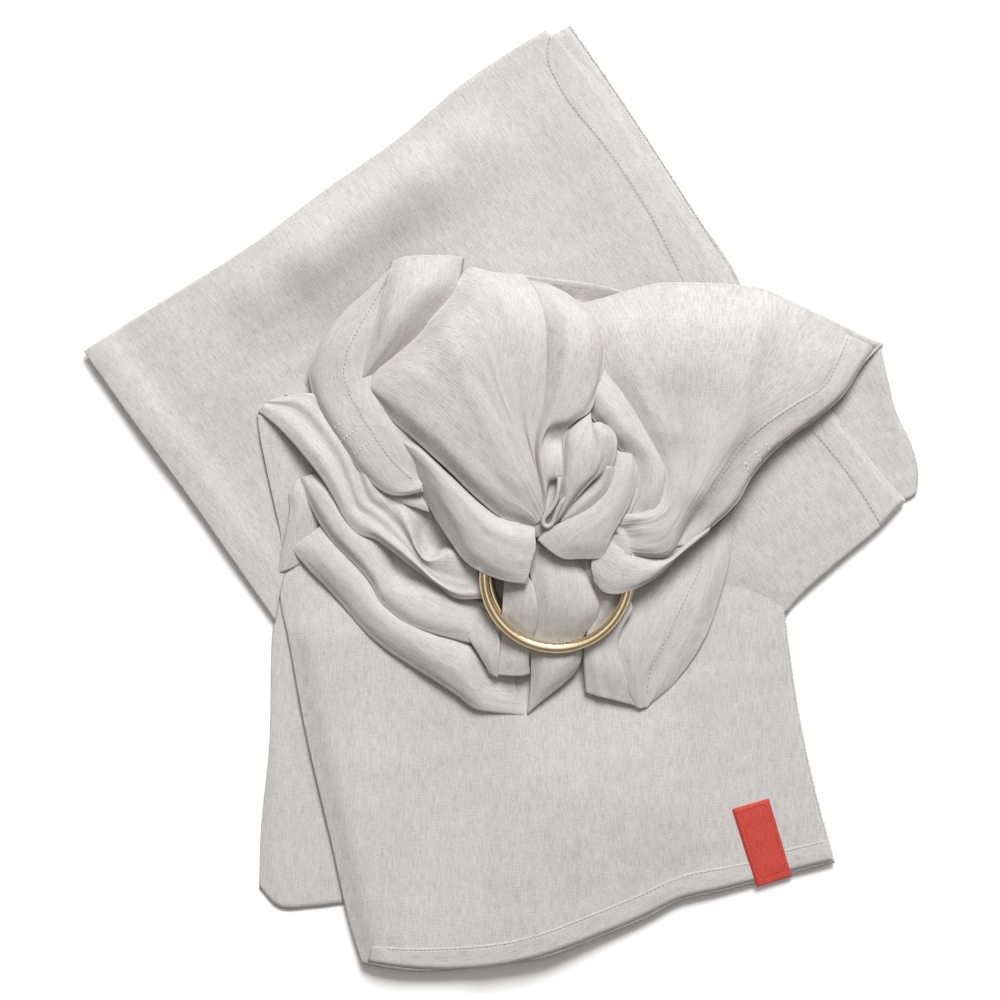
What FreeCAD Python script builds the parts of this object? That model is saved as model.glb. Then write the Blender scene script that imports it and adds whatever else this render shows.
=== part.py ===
import FreeCAD, Part
import os

# A ring sling: one long linen cloth, pleated and sewn round two metal rings, its free end
# threaded back through them, laid down as a folded bundle.
# Frame: +X right and +Y up in plan, +Z up off the table, z = 0 the table. Millimetres.
# The cloth is one piece in life. Each node below is one region of it that lies at its own
# level, so that the panels, pleats and folds stack without passing through each other.

DIMENSIONS = {
    "layer": 1.5,  # one flat layer of cloth with the air in it
    "hem_thickness": 0.9,  # the turned-under edge, on top of a panel
    "thread_width": 0.9,
    "thread_height": 0.4,
    "label_thickness": 0.7,
    "gather_base": 3.4,  # underside of the folds that lie on the two-layer panels
    "ring_outer_radius": 44.0,
    "wire_radius": 3.0,
    "ring_tilt": 5.0,  # degrees, the free side of the rings lies lower
    "front_ring_x": 30.8,
    "front_ring_y": -42.3,
    "front_ring_z": 21.0,
    "rear_ring_x": 33.3,
    "rear_ring_y": -40.0,
    "rear_ring_drop": 9.5,  # the rear ring's centre below the front ring's
    "bight_thickness": 3.0,
    "wrap_thickness": 5.0,
    "running_gap": 0.25,
}

# Plan outlines of the flat panels.
BODY_LOWER = [
    (-239, 86), (-200, 112), (-140, 150), (-100, 180), (-60, 208), (-20, 242), (20, 270),
    (39, 274), (62, 241), (83, 211), (112, 166), (138, 124), (122, 60), (112, -5),
    (112, -60), (-126, -60), (-180, 5), (-220, 60),
]
BODY_UPPER = [
    (-238, 87), (-200, 112), (-140, 150), (-100, 180), (-60, 208), (-20, 242), (22, 272),
    (29, 268), (58, 239), (79, 210), (109, 164), (135, 122), (121, 60), (111, -5),
    (111, -60), (-124, -60), (-178, 5), (-219, 60),
]
SIDE_LOWER = [
    (140, 120), (200, 93), (216, 87), (223, 55), (230, 28), (230, 5), (228, -3),
    (220, -15), (200, -28), (180, -45), (165, -57), (161, -62), (114, -62), (114, -5),
    (124, 60),
]
SIDE_UPPER = [
    (140, 121), (170, 107), (200, 94), (217, 90), (225, 55), (235, 30), (239, 12),
    (237, 5), (229, 2), (219, -12), (199, -26), (179, -42), (160, -60), (114, -62),
    (114, -5), (124, 60),
]
TAIL_LOWER = [
    (-124, -64), (-131, -100), (-133, -140), (-138, -190), (-139, -215), (-136, -226),
    (-128, -233), (-92, -232), (-84, -262), (-45, -266), (20, -259), (85, -235),
    (146, -218), (188, -206), (176, -150), (164, -95), (160, -64),
]
TAIL_UPPER = [
    (162, -64), (165, -90), (170, -120), (178, -150), (182, -175), (191, -207),
    (180, -209), (146, -221), (100, -230), (85, -238), (55, -250), (20, -262),
    (-45, -269), (-75, -269), (-80, -265), (-90, -225), (-104, -165), (-118, -100),
    (-122, -64),
]

# Hems: the outer edge, then back along the stitch line.
BODY_HEM = [
    (29, 268), (58, 239), (79, 210), (109, 164), (131, 129), (103, 129), (80, 170),
    (60, 200), (30, 240), (23, 262),
]
SIDE_HEM = [
    (181, 39), (190, 28), (200, 14), (210, 1), (216, -10), (227, -1), (221, 10),
    (211, 23), (203, 34), (194, 46),
]
TAIL_HEM = [
    (189, -207), (146, -221), (100, -230), (85, -238), (55, -250), (20, -262),
    (-45, -269), (-75, -269), (-74, -255), (-45, -255), (16, -248), (50, -236),
    (80, -224), (96, -216), (143, -207), (186, -194),
]
BODY_STITCH = [(25, 259), (32, 240), (62, 200), (82, 170), (104, 131)]
SIDE_STITCH = [(183, 38), (192, 27), (201, 14), (211, 1), (216, -8)]
TAIL_STITCH = [
    (184, -197), (143, -209), (96, -218), (80, -226), (50, -238), (16, -250), (-45, -257),
    (-72, -257),
]
LABEL = [(132, -176), (153, -170), (166, -214), (146, -220)]

# Folds of the gathered shoulder and the pouch: plan outline, and the height of the crown.
FOLDS = {
    "shoulder_main_pleat": (42, [
        (-79, 67), (-70, 57), (-50, 38), (-29, 19), (-18, 8), (17, 8), (18, 30), (20, 38),
        (28, 60), (26, 82), (54, 92), (48, 108), (29, 122), (-2, 129), (-18, 134),
        (-27, 121), (-48, 95), (-61, 84),
    ]),
    "shoulder_ridge_pleat": (30, [
        (-61, 138), (-50, 140), (-24, 139), (-22, 134), (-29, 122), (-50, 97), (-63, 86),
        (-80, 70), (-77, 84), (-71, 105), (-66, 123),
    ]),
    "shoulder_outer_pleat": (24, [
        (-64, 134), (-79, 118), (-89, 109), (-100, 95), (-104, 84), (-96, 60), (-83, 69),
        (-79, 85), (-73, 105), (-68, 123),
    ]),
    "shoulder_left_facing": (24, [
        (-80, 59), (-72, 54), (-52, 35), (-31, 16), (-21, 6), (-44, 5), (-50, 17),
        (-58, 24), (-71, 42),
    ]),
    "shoulder_hem_left": (21, [
        (-106, 82), (-110, 75), (-109, 66), (-105, 54), (-98, 41), (-79, 16), (-62, 2),
        (-46, 5), (-52, 16), (-60, 23), (-73, 41), (-82, 58), (-97, 58),
    ]),
    "shoulder_scroll_fold": (40, [
        (19, 9), (20, 28), (22, 37), (30, 49), (39, 51), (46, 51), (38, 43), (33.5, 38),
        (32, 28), (31, 9),
    ]),
    "shoulder_tongue_fold": (44, [
        (33, 9), (34, 29), (36, 38), (48, 50), (57, 45), (62.5, 39), (62.5, 21), (60, 9),
    ]),
    "shoulder_right_pleat": (38, [
        (30, 53), (30, 61), (28.5, 80), (53, 88), (54, 68), (62, 54), (72, 42), (84, 29),
        (84, 8), (65, 8), (65, 38), (58, 47.5), (48, 53), (39, 53),
    ]),
    "shoulder_right_panel": (34, [
        (56, 68), (58, 92), (50, 109), (71, 118), (100, 126), (120, 124), (136, 122),
        (150, 121), (170, 110), (200, 94), (212, 91), (192, 80), (180, 65), (160, 50),
        (145, 40), (130, 27), (122, 15), (112, 2), (104, -7), (97, 0), (92, 6), (88, 22),
        (86, 30), (73, 44), (64, 56),
    ]),
    "shoulder_hem_right": (20, [
        (216, 89), (207, 80), (195, 62), (178, 47), (165, 38), (155, 30), (142, 15),
        (137, 8), (133, -1), (120, -12), (106, -24), (100, -18), (106, -9), (114, 1),
        (124, 14), (132, 26), (147, 39), (162, 49), (182, 64), (194, 79),
    ]),
    "pouch_fold_upper": (22, [
        (-138, 52), (-134, 57), (-123, 61), (-112, 63), (-107, 52), (-100, 39), (-81, 14),
        (-64, -1), (-47, 2), (-40, -8), (-34, -20), (-26, -31), (-27, -52), (-36, -46),
        (-50, -36), (-64, -26), (-73, -19), (-82, -17), (-87, -11), (-95, 4), (-102, 16),
        (-109, 25), (-120, 38), (-129, 46),
    ]),
    "pouch_fold_middle": (19, [
        (-116, 12), (-109, 16), (-104, 14), (-97, 2), (-89, -13), (-83, -19), (-73, -21.5),
        (-64, -28), (-50, -38.5), (-36, -49), (-28, -54), (-20, -55), (-18, -78),
        (-29, -75), (-43, -69.5), (-57, -65), (-68, -58), (-79, -42), (-86, -33),
        (-95, -22), (-103, -11.5), (-109, -1),
    ]),
    "pouch_fold_lower": (16, [
        (-119, -27), (-109, -18), (-104, -13.5), (-97, -23.5), (-88, -34.5), (-81, -43.5),
        (-70, -59.5), (-58, -67), (-43, -71.5), (-29, -77.5), (-17, -81), (-8, -84),
        (-8, -117), (-25, -109), (-39, -99), (-57, -87), (-71, -76), (-84, -63),
        (-96, -53), (-107, -41),
    ]),
    "back_hem_fold": (17, [
        (92, -37), (105, -26), (118, -17), (132, -4), (131, -20), (128, -40), (118, -72),
        (105, -95), (95, -107), (80, -119), (82, -105), (84, -85), (80, -65), (78, -55),
        (84, -47),
    ]),
    "ring_pleat_left": (13, [(-4, -89), (13, -89), (14, -98), (8, -101), (-4, -100)]),
    "ring_pleat_centre": (14, [
        (16, -89), (45, -89), (43, -99), (35, -106), (25, -113), (14, -122), (16, -105),
    ]),
    "ring_pleat_right": (13, [
        (48, -89), (74, -89), (76, -98), (77, -114), (62, -113), (51, -110),
    ]),
}

# A fold's sections, from its base to its crown: share of the height, share of the plan.
FOLD_PROFILE = [(0.0, 1.0), (0.55, 0.9), (1.0, 0.62)]

# The cloth that turns over the rings' upper arcs, seen in plan.
WRAPS = {
    "wrap_left": [
        (-18, -37.5), (-25, -30), (-32, -20), (-39, -7), (-39.5, -5), (19, -5), (19, -25),
        (16, -36), (14, -46), (5, -45.5), (-7, -42),
    ],
    "wrap_centre": [
        (20.5, -22), (30, -30), (36, -31), (48, -31), (56, -32), (58, -29), (60, -21),
        (60.5, -5), (20.5, -5),
    ],
    "wrap_right": [
        (62, -5), (62, -20), (59.5, -35), (57, -50), (64, -51), (74, -48), (82, -45),
        (91, -36), (98, -26), (95, -5),
    ],
}
# The cloth between the two rings: over the rear ring and under the front one.
BIGHT = [
    (5, -70), (0, -61), (1, -45), (8, -12), (58, -10), (64, -30), (70, -55), (60, -74),
    (45, -82), (17, -82),
]
# Thread bars that close the ends of the left shoulder hem: start and end of each.
SEAM_BARS = [((-91, 41), (-86, 47)), ((-88, 36), (-81, 42)), ((-85, 31), (-78, 36))]


def make_sheet(doc):
    """The spreadsheet that holds the driving dimensions."""
    sheet = doc.addObject("Spreadsheet::Sheet", "Dimensions")
    for row, (alias, value) in enumerate(DIMENSIONS.items(), start=1):
        sheet.set(f"A{row}", alias)
        sheet.set(f"B{row}", str(value))
        sheet.setAlias(f"B{row}", alias)
    doc.recompute()
    return sheet


def plane_of(body, role):
    """The body's origin plane with this role."""
    return next(f for f in body.Origin.OriginFeatures if f.Role == role)


def new_body(doc, label):
    body = doc.addObject("PartDesign::Body", label)
    body.Label = label
    return body


def outline_sketch(body, name, *outlines):
    """A sketch on the body's XY plane with one closed run of lines for each outline."""
    sketch = body.newObject("Sketcher::SketchObject", f"{body.Name}_{name}")
    sketch.AttachmentSupport = [(plane_of(body, "XY_Plane"), "")]
    sketch.MapMode = "FlatFace"
    for outline in outlines:
        corners = [FreeCAD.Vector(x, y, 0) for x, y in outline]
        sides = zip(corners, corners[1:] + corners[:1])
        sketch.addGeometry([Part.LineSegment(a, b) for a, b in sides], False)
    return sketch


def pad(doc, label, thickness, height, *outlines):
    """A flat piece: its outline, raised to height and made thickness thick (expressions)."""
    body = new_body(doc, label)
    sketch = outline_sketch(body, "outline", *outlines)
    feature = body.newObject("PartDesign::Pad", f"{label}_pad")
    feature.Profile = sketch
    feature.setExpression("Length", thickness)
    body.setExpression("Placement.Base.z", height)
    return body


def tilted_pad(doc, label, thickness, height, sheet, outline):
    """A flat piece that lies in the plane of the tilted rings, height above it."""
    body = new_body(doc, label)
    sketch = outline_sketch(body, "outline", outline)
    feature = body.newObject("PartDesign::Pad", f"{label}_pad")
    feature.Profile = sketch
    feature.setExpression("Length", thickness)
    body.Placement = FreeCAD.Placement(
        FreeCAD.Vector(0, 0, sheet.front_ring_z + height),
        FreeCAD.Rotation(FreeCAD.Vector(1, 0, 0), sheet.ring_tilt),
        FreeCAD.Vector(0, sheet.front_ring_y, -height),
    )
    return body


def middle(outline):
    """The mean of the outline's corners."""
    return [sum(values) / len(outline) for values in zip(*outline)]


def shrunk(outline, share):
    """The outline drawn in towards its middle."""
    mx, my = middle(outline)
    return [(mx + share * (x - mx), my + share * (y - my)) for x, y in outline]


def fold(doc, label, height, outline):
    """A raised fold of cloth: a loft that narrows from its base to its crown."""
    body = new_body(doc, label)
    sections = []
    for number, (rise, share) in enumerate(FOLD_PROFILE):
        sketch = outline_sketch(body, f"section_{number}", shrunk(outline, share))
        sketch.setExpression(
            "AttachmentOffset.Base.z", f"({height} mm - Dimensions.gather_base * 1 mm) * {rise}"
        )
        sections.append(sketch)
    doc.recompute()
    loft = body.newObject("PartDesign::AdditiveLoft", f"{label}_loft")
    loft.Profile = sections[0]
    loft.Sections = sections[1:]
    loft.Ruled = True
    body.setExpression("Placement.Base.z", "Dimensions.gather_base")
    return body


def strip(line, width):
    """The outline of a narrow strip centred on a line."""
    left, right = [], []
    points = [FreeCAD.Vector(x, y, 0) for x, y in line]
    for number, point in enumerate(points):
        before = points[max(number - 1, 0)]
        after = points[min(number + 1, len(points) - 1)]
        run = (after - before).normalize()
        across = FreeCAD.Vector(-run.y, run.x, 0) * (width / 2)
        left.append(point + across)
        right.append(point - across)
    return [(p.x, p.y) for p in left + right[::-1]]


def ring(doc, label, sheet, x, y, drop):
    """A closed round ring of solid wire, tilted about X."""
    torus = doc.addObject("Part::Torus", label)
    torus.Label = label
    torus.setExpression("Radius1", "Dimensions.ring_outer_radius - Dimensions.wire_radius")
    torus.setExpression("Radius2", "Dimensions.wire_radius")
    torus.Placement = FreeCAD.Placement(
        FreeCAD.Vector(x, y, sheet.front_ring_z - drop),
        FreeCAD.Rotation(FreeCAD.Vector(1, 0, 0), sheet.ring_tilt),
    )
    return torus


def flat_panels(doc):
    """The folded cloth that lies on the table, two layers deep, with its hems."""
    two_layers = "2 * Dimensions.layer"
    hem_top = "2 * Dimensions.layer + Dimensions.hem_thickness"
    pieces = []
    for name, lower, upper in (
        ("body_panel", BODY_LOWER, BODY_UPPER),
        ("side_panel", SIDE_LOWER, SIDE_UPPER),
        ("tail_panel", TAIL_LOWER, TAIL_UPPER),
    ):
        pieces.append(pad(doc, f"{name}_lower", "Dimensions.layer", "0", lower))
        pieces.append(pad(doc, f"{name}_upper", "Dimensions.layer", "Dimensions.layer", upper))
    for name, outline in (("body_hem", BODY_HEM), ("tail_hem", TAIL_HEM)):
        pieces.append(pad(doc, name, "Dimensions.hem_thickness", two_layers, outline))
    pieces.append(pad(doc, "side_hem", "Dimensions.hem_thickness", two_layers, SIDE_HEM))
    for name, line in (
        ("body_hem_thread", BODY_STITCH),
        ("side_hem_thread", SIDE_STITCH),
        ("tail_hem_thread", TAIL_STITCH),
    ):
        outline = strip(line, DIMENSIONS["thread_width"])
        pieces.append(pad(doc, name, "Dimensions.thread_height", hem_top, outline))
    return pieces


def woven_label(doc):
    """The woven label sewn over the tail's hem, and the thread that runs round it."""
    hem_top = "2 * Dimensions.layer + Dimensions.hem_thickness"
    thread_lift = hem_top + " + Dimensions.thread_height"
    label = pad(doc, "woven_label", "Dimensions.label_thickness", thread_lift, LABEL)
    seam = pad(
        doc,
        "label_thread",
        "Dimensions.thread_height",
        thread_lift + " + Dimensions.label_thickness",
        shrunk(LABEL, 0.93),
        shrunk(LABEL, 0.87),
    )
    return [label, seam]


def rings_and_wraps(doc, sheet):
    """The two rings, the cloth turned over them and the cloth held between them."""
    wire, gap = sheet.wire_radius, sheet.running_gap
    front = ring(doc, "front_ring", sheet, sheet.front_ring_x, sheet.front_ring_y, 0)
    rear = ring(
        doc, "rear_ring", sheet, sheet.rear_ring_x, sheet.rear_ring_y, sheet.rear_ring_drop
    )
    bight_height = -(wire + gap) - sheet.bight_thickness
    pieces = [front, rear]
    pieces.append(
        tilted_pad(doc, "tail_bight", "Dimensions.bight_thickness", bight_height, sheet, BIGHT)
    )
    for name, outline in WRAPS.items():
        pieces.append(
            tilted_pad(doc, name, "Dimensions.wrap_thickness", wire + gap, sheet, outline)
        )
    return pieces


def seam_bars(doc):
    """The short bars of thread across the left shoulder hem, on top of its fold."""
    height = FOLDS["shoulder_hem_left"][0]
    bars = [strip(bar, DIMENSIONS["thread_width"]) for bar in SEAM_BARS]
    body = doc.addObject("Part::Feature", "shoulder_seam_bars")
    body.Label = "shoulder_seam_bars"
    solids = []
    for outline in bars:
        corners = [FreeCAD.Vector(x, y, 0) for x, y in outline]
        face = Part.Face(Part.makePolygon(corners + corners[:1]))
        solids.append(face.extrude(FreeCAD.Vector(0, 0, DIMENSIONS["thread_height"])))
    body.Shape = Part.makeCompound(solids)
    body.Placement = FreeCAD.Placement(FreeCAD.Vector(0, 0, height), FreeCAD.Rotation())
    return body


def check(doc, pieces):
    """Stops if any object failed, or any piece's shape is missing or invalid."""
    for item in doc.Objects:
        if "Invalid" in item.State or "Error" in item.State:
            raise RuntimeError(f"{item.Label} failed: {item.State}")
    for piece in pieces:
        if piece.Shape.isNull() or not piece.Shape.isValid():
            raise RuntimeError(f"{piece.Label} has no valid shape")


def main():
    doc = FreeCAD.newDocument("ring_sling")
    sheet = make_sheet(doc)
    pieces = flat_panels(doc) + woven_label(doc)
    pieces += [fold(doc, name, height, plan) for name, (height, plan) in FOLDS.items()]
    pieces += rings_and_wraps(doc, sheet)
    pieces.append(seam_bars(doc))
    doc.recompute()
    check(doc, pieces)
    os.makedirs("parts", exist_ok=True)
    for piece in pieces:
        piece.Shape.exportStep(f"parts/{piece.Label}.step")
        solids = len(piece.Shape.Solids)
        print(f"{piece.Label}: {solids} solid(s), {piece.Shape.Volume:.0f} mm3")


main()
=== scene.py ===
import math
import random

import bpy
import numpy as np
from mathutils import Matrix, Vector, noise
from mathutils.bvhtree import BVHTree


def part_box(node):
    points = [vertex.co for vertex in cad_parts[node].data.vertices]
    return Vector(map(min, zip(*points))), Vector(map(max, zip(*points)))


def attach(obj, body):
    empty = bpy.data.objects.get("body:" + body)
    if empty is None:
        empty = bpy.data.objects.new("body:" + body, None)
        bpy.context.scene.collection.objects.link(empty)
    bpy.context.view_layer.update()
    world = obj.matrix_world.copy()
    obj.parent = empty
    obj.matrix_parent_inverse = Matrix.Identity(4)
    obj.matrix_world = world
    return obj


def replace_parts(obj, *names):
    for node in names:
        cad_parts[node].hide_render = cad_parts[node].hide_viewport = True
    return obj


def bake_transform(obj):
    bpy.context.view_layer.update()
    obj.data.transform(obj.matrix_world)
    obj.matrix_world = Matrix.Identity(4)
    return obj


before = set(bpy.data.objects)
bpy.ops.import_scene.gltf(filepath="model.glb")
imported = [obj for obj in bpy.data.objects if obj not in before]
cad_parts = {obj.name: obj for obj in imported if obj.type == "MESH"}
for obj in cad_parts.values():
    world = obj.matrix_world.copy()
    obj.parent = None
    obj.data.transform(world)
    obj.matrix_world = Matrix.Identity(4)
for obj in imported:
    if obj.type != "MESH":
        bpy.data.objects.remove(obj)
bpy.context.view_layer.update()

MM = 0.001
CLOTH = 0.6  # thickness of the linen, mm
UP = np.array([0, 0, 1.0])

# The rings, read from the frame, in millimetres.
FRONT_LOW, FRONT_HIGH = (np.array(corner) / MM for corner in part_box("front_ring"))
REAR_LOW, REAR_HIGH = (np.array(corner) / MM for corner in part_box("rear_ring"))
WIRE = 6.0
RING_RADIUS = (FRONT_HIGH[0] - FRONT_LOW[0]) / 2 - WIRE / 2
FRONT_CENTRE = (FRONT_LOW + FRONT_HIGH) / 2
REAR_CENTRE = (REAR_LOW + REAR_HIGH) / 2
RING_SLOPE = (FRONT_HIGH[2] - FRONT_LOW[2] - WIRE) / (2 * RING_RADIUS)
ROOM = WIRE / 2 + CLOTH + 0.3  # from the wire's centre to the cloth that lies on it
WIRE_REACH = 2.5  # how far beside the wire's centre line the cloth stays level with its top


# ---------------- curves and grids

def flat(*numbers):
    """A line in plan, from a run of x, y pairs in mm."""
    return [(x, y, 0) for x, y in zip(numbers[::2], numbers[1::2])]


def spline(points, count, smooth=1.0):
    """count points evenly spaced along a curve through the given ones, which smooth rounds off."""
    p = np.array(points, float)
    if p.ndim == 2:
        p = p[:, None, :]
    steps = np.linalg.norm(np.diff(p, axis=0), axis=2).mean(axis=1)
    knots = np.concatenate([[0], np.cumsum(np.maximum(steps, 1e-3))])
    span = np.diff(knots)
    wide = span[:, None, None]
    chord = np.diff(p, axis=0) / wide
    slope = np.empty_like(p)
    slope[1:-1] = (chord[:-1] * wide[1:] + chord[1:] * wide[:-1]) / (wide[1:] + wide[:-1])
    slope[0], slope[-1] = chord[0], chord[-1]
    at = np.linspace(0, knots[-1], count)
    i = np.clip(np.searchsorted(knots, at, side="right") - 1, 0, len(span) - 1)
    h = span[i][:, None, None]
    t = ((at - knots[i]) / span[i])[:, None, None]
    curve = (
        (2 * t**3 - 3 * t**2 + 1) * p[i]
        + (t**3 - 2 * t**2 + t) * h * slope[i]
        + (3 * t**2 - 2 * t**3) * p[i + 1]
        + (t**3 - t**2) * h * slope[i + 1]
    )
    straight = (1 - t) * p[i] + t * p[i + 1]
    return (smooth * curve + (1 - smooth) * straight).squeeze()


def even(points, count):
    """spline(), respaced so that its points are evenly spaced by length."""
    line = spline(points, count * 4)
    along = np.concatenate([[0], np.cumsum(np.linalg.norm(np.diff(line, axis=0), axis=1))])
    at = np.linspace(0, along[-1], count)
    return np.stack([np.interp(at, along, line[:, k]) for k in range(3)], axis=1)


def length_of(line):
    return float(np.linalg.norm(np.diff(line, axis=0), axis=1).sum())


def loft(rails, spacing):
    """A grid of points over the rails: rows run along the rails, and follow one another."""
    longest = max(length_of(even(r, 24)) for r in rails)
    along = max(8, int(longest / spacing))
    lines = np.array([even(r, along) for r in rails])
    across = np.linalg.norm(np.diff(lines, axis=0), axis=2).mean(axis=1).sum()
    grid = spline(lines, max(6, int(across / spacing)), 0.35)
    grid[1:-1] = 0.25 * grid[:-2] + 0.5 * grid[1:-1] + 0.25 * grid[2:]
    return grid


def rolled(grid, side, radius, tuck=3.0):
    """Adds rows that turn the sheet over a fold at one side and tuck it underneath."""
    sideways, backwards = side in ("start", "end"), side in ("last", "end")
    g = grid.transpose(1, 0, 2) if sideways else grid
    g = g[::-1] if backwards else g
    edge = g[0]
    inward = g[min(3, len(g) - 1)] - edge
    inward[:, 2] = 0
    inward /= np.maximum(np.linalg.norm(inward, axis=1, keepdims=True), 1e-6)
    rows = [edge - 2 * radius * UP + (tuck + radius) * inward * 0.8]
    for angle in np.radians([180, 150, 120, 90, 60, 30]):
        drop, out = radius * math.cos(angle), radius * math.sin(angle)
        rows.append(edge - radius * UP - inward * out + UP * drop)
    rows = [np.column_stack([r[:, 0], r[:, 1], np.maximum(r[:, 2], 0.5)]) for r in rows]
    g = np.concatenate([np.array(rows), g])
    g = g[::-1] if backwards else g
    return g.transpose(1, 0, 2) if sideways else g


def coons(top, bottom, left, right, spacing):
    """A flat grid filled in between four edges, which meet at their ends."""
    wide = max(length_of(even(e, 16)) for e in (top, bottom))
    tall = max(length_of(even(e, 16)) for e in (left, right))
    nu, nv = int(wide / spacing), int(tall / spacing)
    t, b = even(top, nu), even(bottom, nu)
    l, r = even(left, nv), even(right, nv)
    u = np.linspace(0, 1, nu)[None, :, None]
    v = np.linspace(0, 1, nv)[:, None, None]
    ruled = (1 - v) * t[None] + v * b[None] + (1 - u) * l[:, None] + u * r[:, None]
    corners = (
        (1 - u) * (1 - v) * t[0] + u * (1 - v) * t[-1] + (1 - u) * v * b[0] + u * v * b[-1]
    )
    return ruled - corners


def heights(grid, base, *bumps):
    """Sets a flat grid's height: a base and soft rises or dips (place, along, across, angle, mm)."""
    x, y = grid[..., 0], grid[..., 1]
    z = np.full(x.shape, float(base))
    for at, along, across, angle, rise in bumps:
        a = math.radians(angle)
        dx, dy = x - at[0], y - at[1]
        p = (dx * math.cos(a) + dy * math.sin(a)) / along
        q = (-dx * math.sin(a) + dy * math.cos(a)) / across
        z = z + rise * np.exp(-(p * p + q * q))
    grid[..., 2] = z
    return grid


def crested(grid, line, rise, left, right):
    """Raises the grid along a line, falling away over the widths given for its two sides."""
    crest = even(line, 40)[:, :2]
    run = np.gradient(crest, axis=0)
    gap = grid[..., None, :2] - crest
    distance = np.hypot(gap[..., 0], gap[..., 1])
    near = distance.argmin(axis=-1)
    off = np.take_along_axis(gap, near[..., None, None], axis=2)[..., 0, :]
    run /= np.linalg.norm(run, axis=1, keepdims=True)
    side = run[near][..., 0] * off[..., 1] - run[near][..., 1] * off[..., 0]
    side /= np.maximum(distance.min(axis=-1), 0.1)
    width = (left + right) / 2 + (left - right) / 2 * side
    grid[..., 2] += rise * np.exp(-((distance.min(axis=-1) / width) ** 2))
    return grid


CREASES = 14


def creased(grid, seed, height):
    """Fine creases that run along the rows and deepen towards their ends, as where cloth gathers."""
    rng = random.Random(seed)
    rows, columns = grid.shape[:2]
    width = float(np.linalg.norm(np.diff(grid, axis=0), axis=2).sum(axis=0).max())
    across = np.linspace(0, 1, rows)[:, None]
    along = np.linspace(0, 1, columns)[None, :]
    total = np.zeros((rows, columns))
    for _ in range(CREASES):
        waves = rng.uniform(0.4, 1.0) * width / 9
        drift, phase = rng.uniform(-0.5, 0.5), rng.uniform(0, 2 * math.pi)
        swell = 0.5 + 0.5 * np.sin(2 * math.pi * (rng.uniform(0.5, 1.6) * along + rng.random()))
        total += swell * np.sin(2 * math.pi * waves * across + drift * 6 * along + phase)
    edge = np.minimum(1, 6 * np.minimum(across, 1 - across))
    room = np.linalg.norm(np.diff(grid, axis=0), axis=2).sum(axis=0)[None, :] / width
    grid[..., 2] += height * total / 3.2 * edge * (0.3 + 0.7 * along) * room**0.8
    return grid


def wrinkled(grid, seed, height, size):
    """The grid with small soft creases, longer along the rows than across them."""
    v, u = (
        np.concatenate([[0], np.cumsum(np.linalg.norm(np.diff(grid, axis=k), axis=2).mean(axis=1 - k))])
        for k in (0, 1)
    )
    for i, j in np.ndindex(grid.shape[:2]):
        place = Vector((v[i] / size, u[j] / (3.2 * size), seed * 7.3))
        fine = noise.noise(place) + 0.5 * noise.noise(place * 2.3)
        broad = noise.noise(Vector((v[i] / (4 * size), u[j] / (5 * size), seed * 3.1)))
        grid[i, j, 2] += height * (fine + 1.2 * broad)
    return grid


def by_ring(grid, centre):
    """The height of a ring's mid-plane at each point of a grid, and how far it falls away off the wire."""
    x, y = grid[..., 0], grid[..., 1]
    off = np.abs(np.hypot(x - centre[0], y - centre[1]) - RING_RADIUS)
    return centre[2] + (y - centre[1]) * RING_SLOPE, 0.22 * np.maximum(off - WIRE_REACH, 0) ** 2


def over_ring(grid):
    """The grid kept above the front ring's wire."""
    middle, fall = by_ring(grid, FRONT_CENTRE)
    grid[..., 2] = np.maximum(grid[..., 2], middle + ROOM - fall)
    return grid


def threaded(grid):
    """The grid drawn down under the front ring's wire and kept above the rear ring's."""
    middle, fall = by_ring(grid, FRONT_CENTRE)
    z = np.minimum(grid[..., 2], middle - ROOM + fall)
    middle, fall = by_ring(grid, REAR_CENTRE)
    grid[..., 2] = np.maximum(z, middle + ROOM - 0.5 - fall)
    return grid


# ---------------- materials

def new_material(name):
    material = bpy.data.materials.new(name)
    material.use_nodes = True
    tree = material.node_tree
    tree.nodes.clear()
    out = tree.nodes.new("ShaderNodeOutputMaterial")
    shader = tree.nodes.new("ShaderNodeBsdfPrincipled")
    tree.links.new(shader.outputs[0], out.inputs[0])
    return material, tree, shader


def fill(tree, made, links=None, **values):
    """Sets a node's values by input name or attribute, and makes its links."""
    for key, value in values.items():
        if hasattr(made, key) and key not in made.inputs:
            setattr(made, key, value)
        else:
            made.inputs[key].default_value = value
    for key, socket in (links or {}).items():
        tree.links.new(socket, made.inputs[key])
    return made


def node(tree, kind, links=None, **values):
    return fill(tree, tree.nodes.new(kind), links, **values)


def cloth_place(tree):
    """Where a point lies on its flat cloth, in metres."""
    return node(tree, "ShaderNodeUVMap", uv_map="cloth").outputs[0]


def body_place(tree):
    return node(tree, "ShaderNodeTexCoord").outputs["Object"]


def scaled(tree, place, scale):
    return node(tree, "ShaderNodeMapping", {"Vector": place}, Scale=scale).outputs[0]


def grain(tree, place, scale, detail, roughness=0.5):
    """Noise whose spots per metre are given along each axis."""
    return node(tree, "ShaderNodeTexNoise", {"Vector": scaled(tree, place, scale)}, Scale=1.0,
                Detail=detail, Roughness=roughness).outputs[0]


def ribs(tree, place, scale, **values):
    """Parallel bands whose number per metre is given along each axis."""
    return node(tree, "ShaderNodeTexWave", {"Vector": scaled(tree, place, scale)}, Scale=1.0,
                **values).outputs[1]


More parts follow.
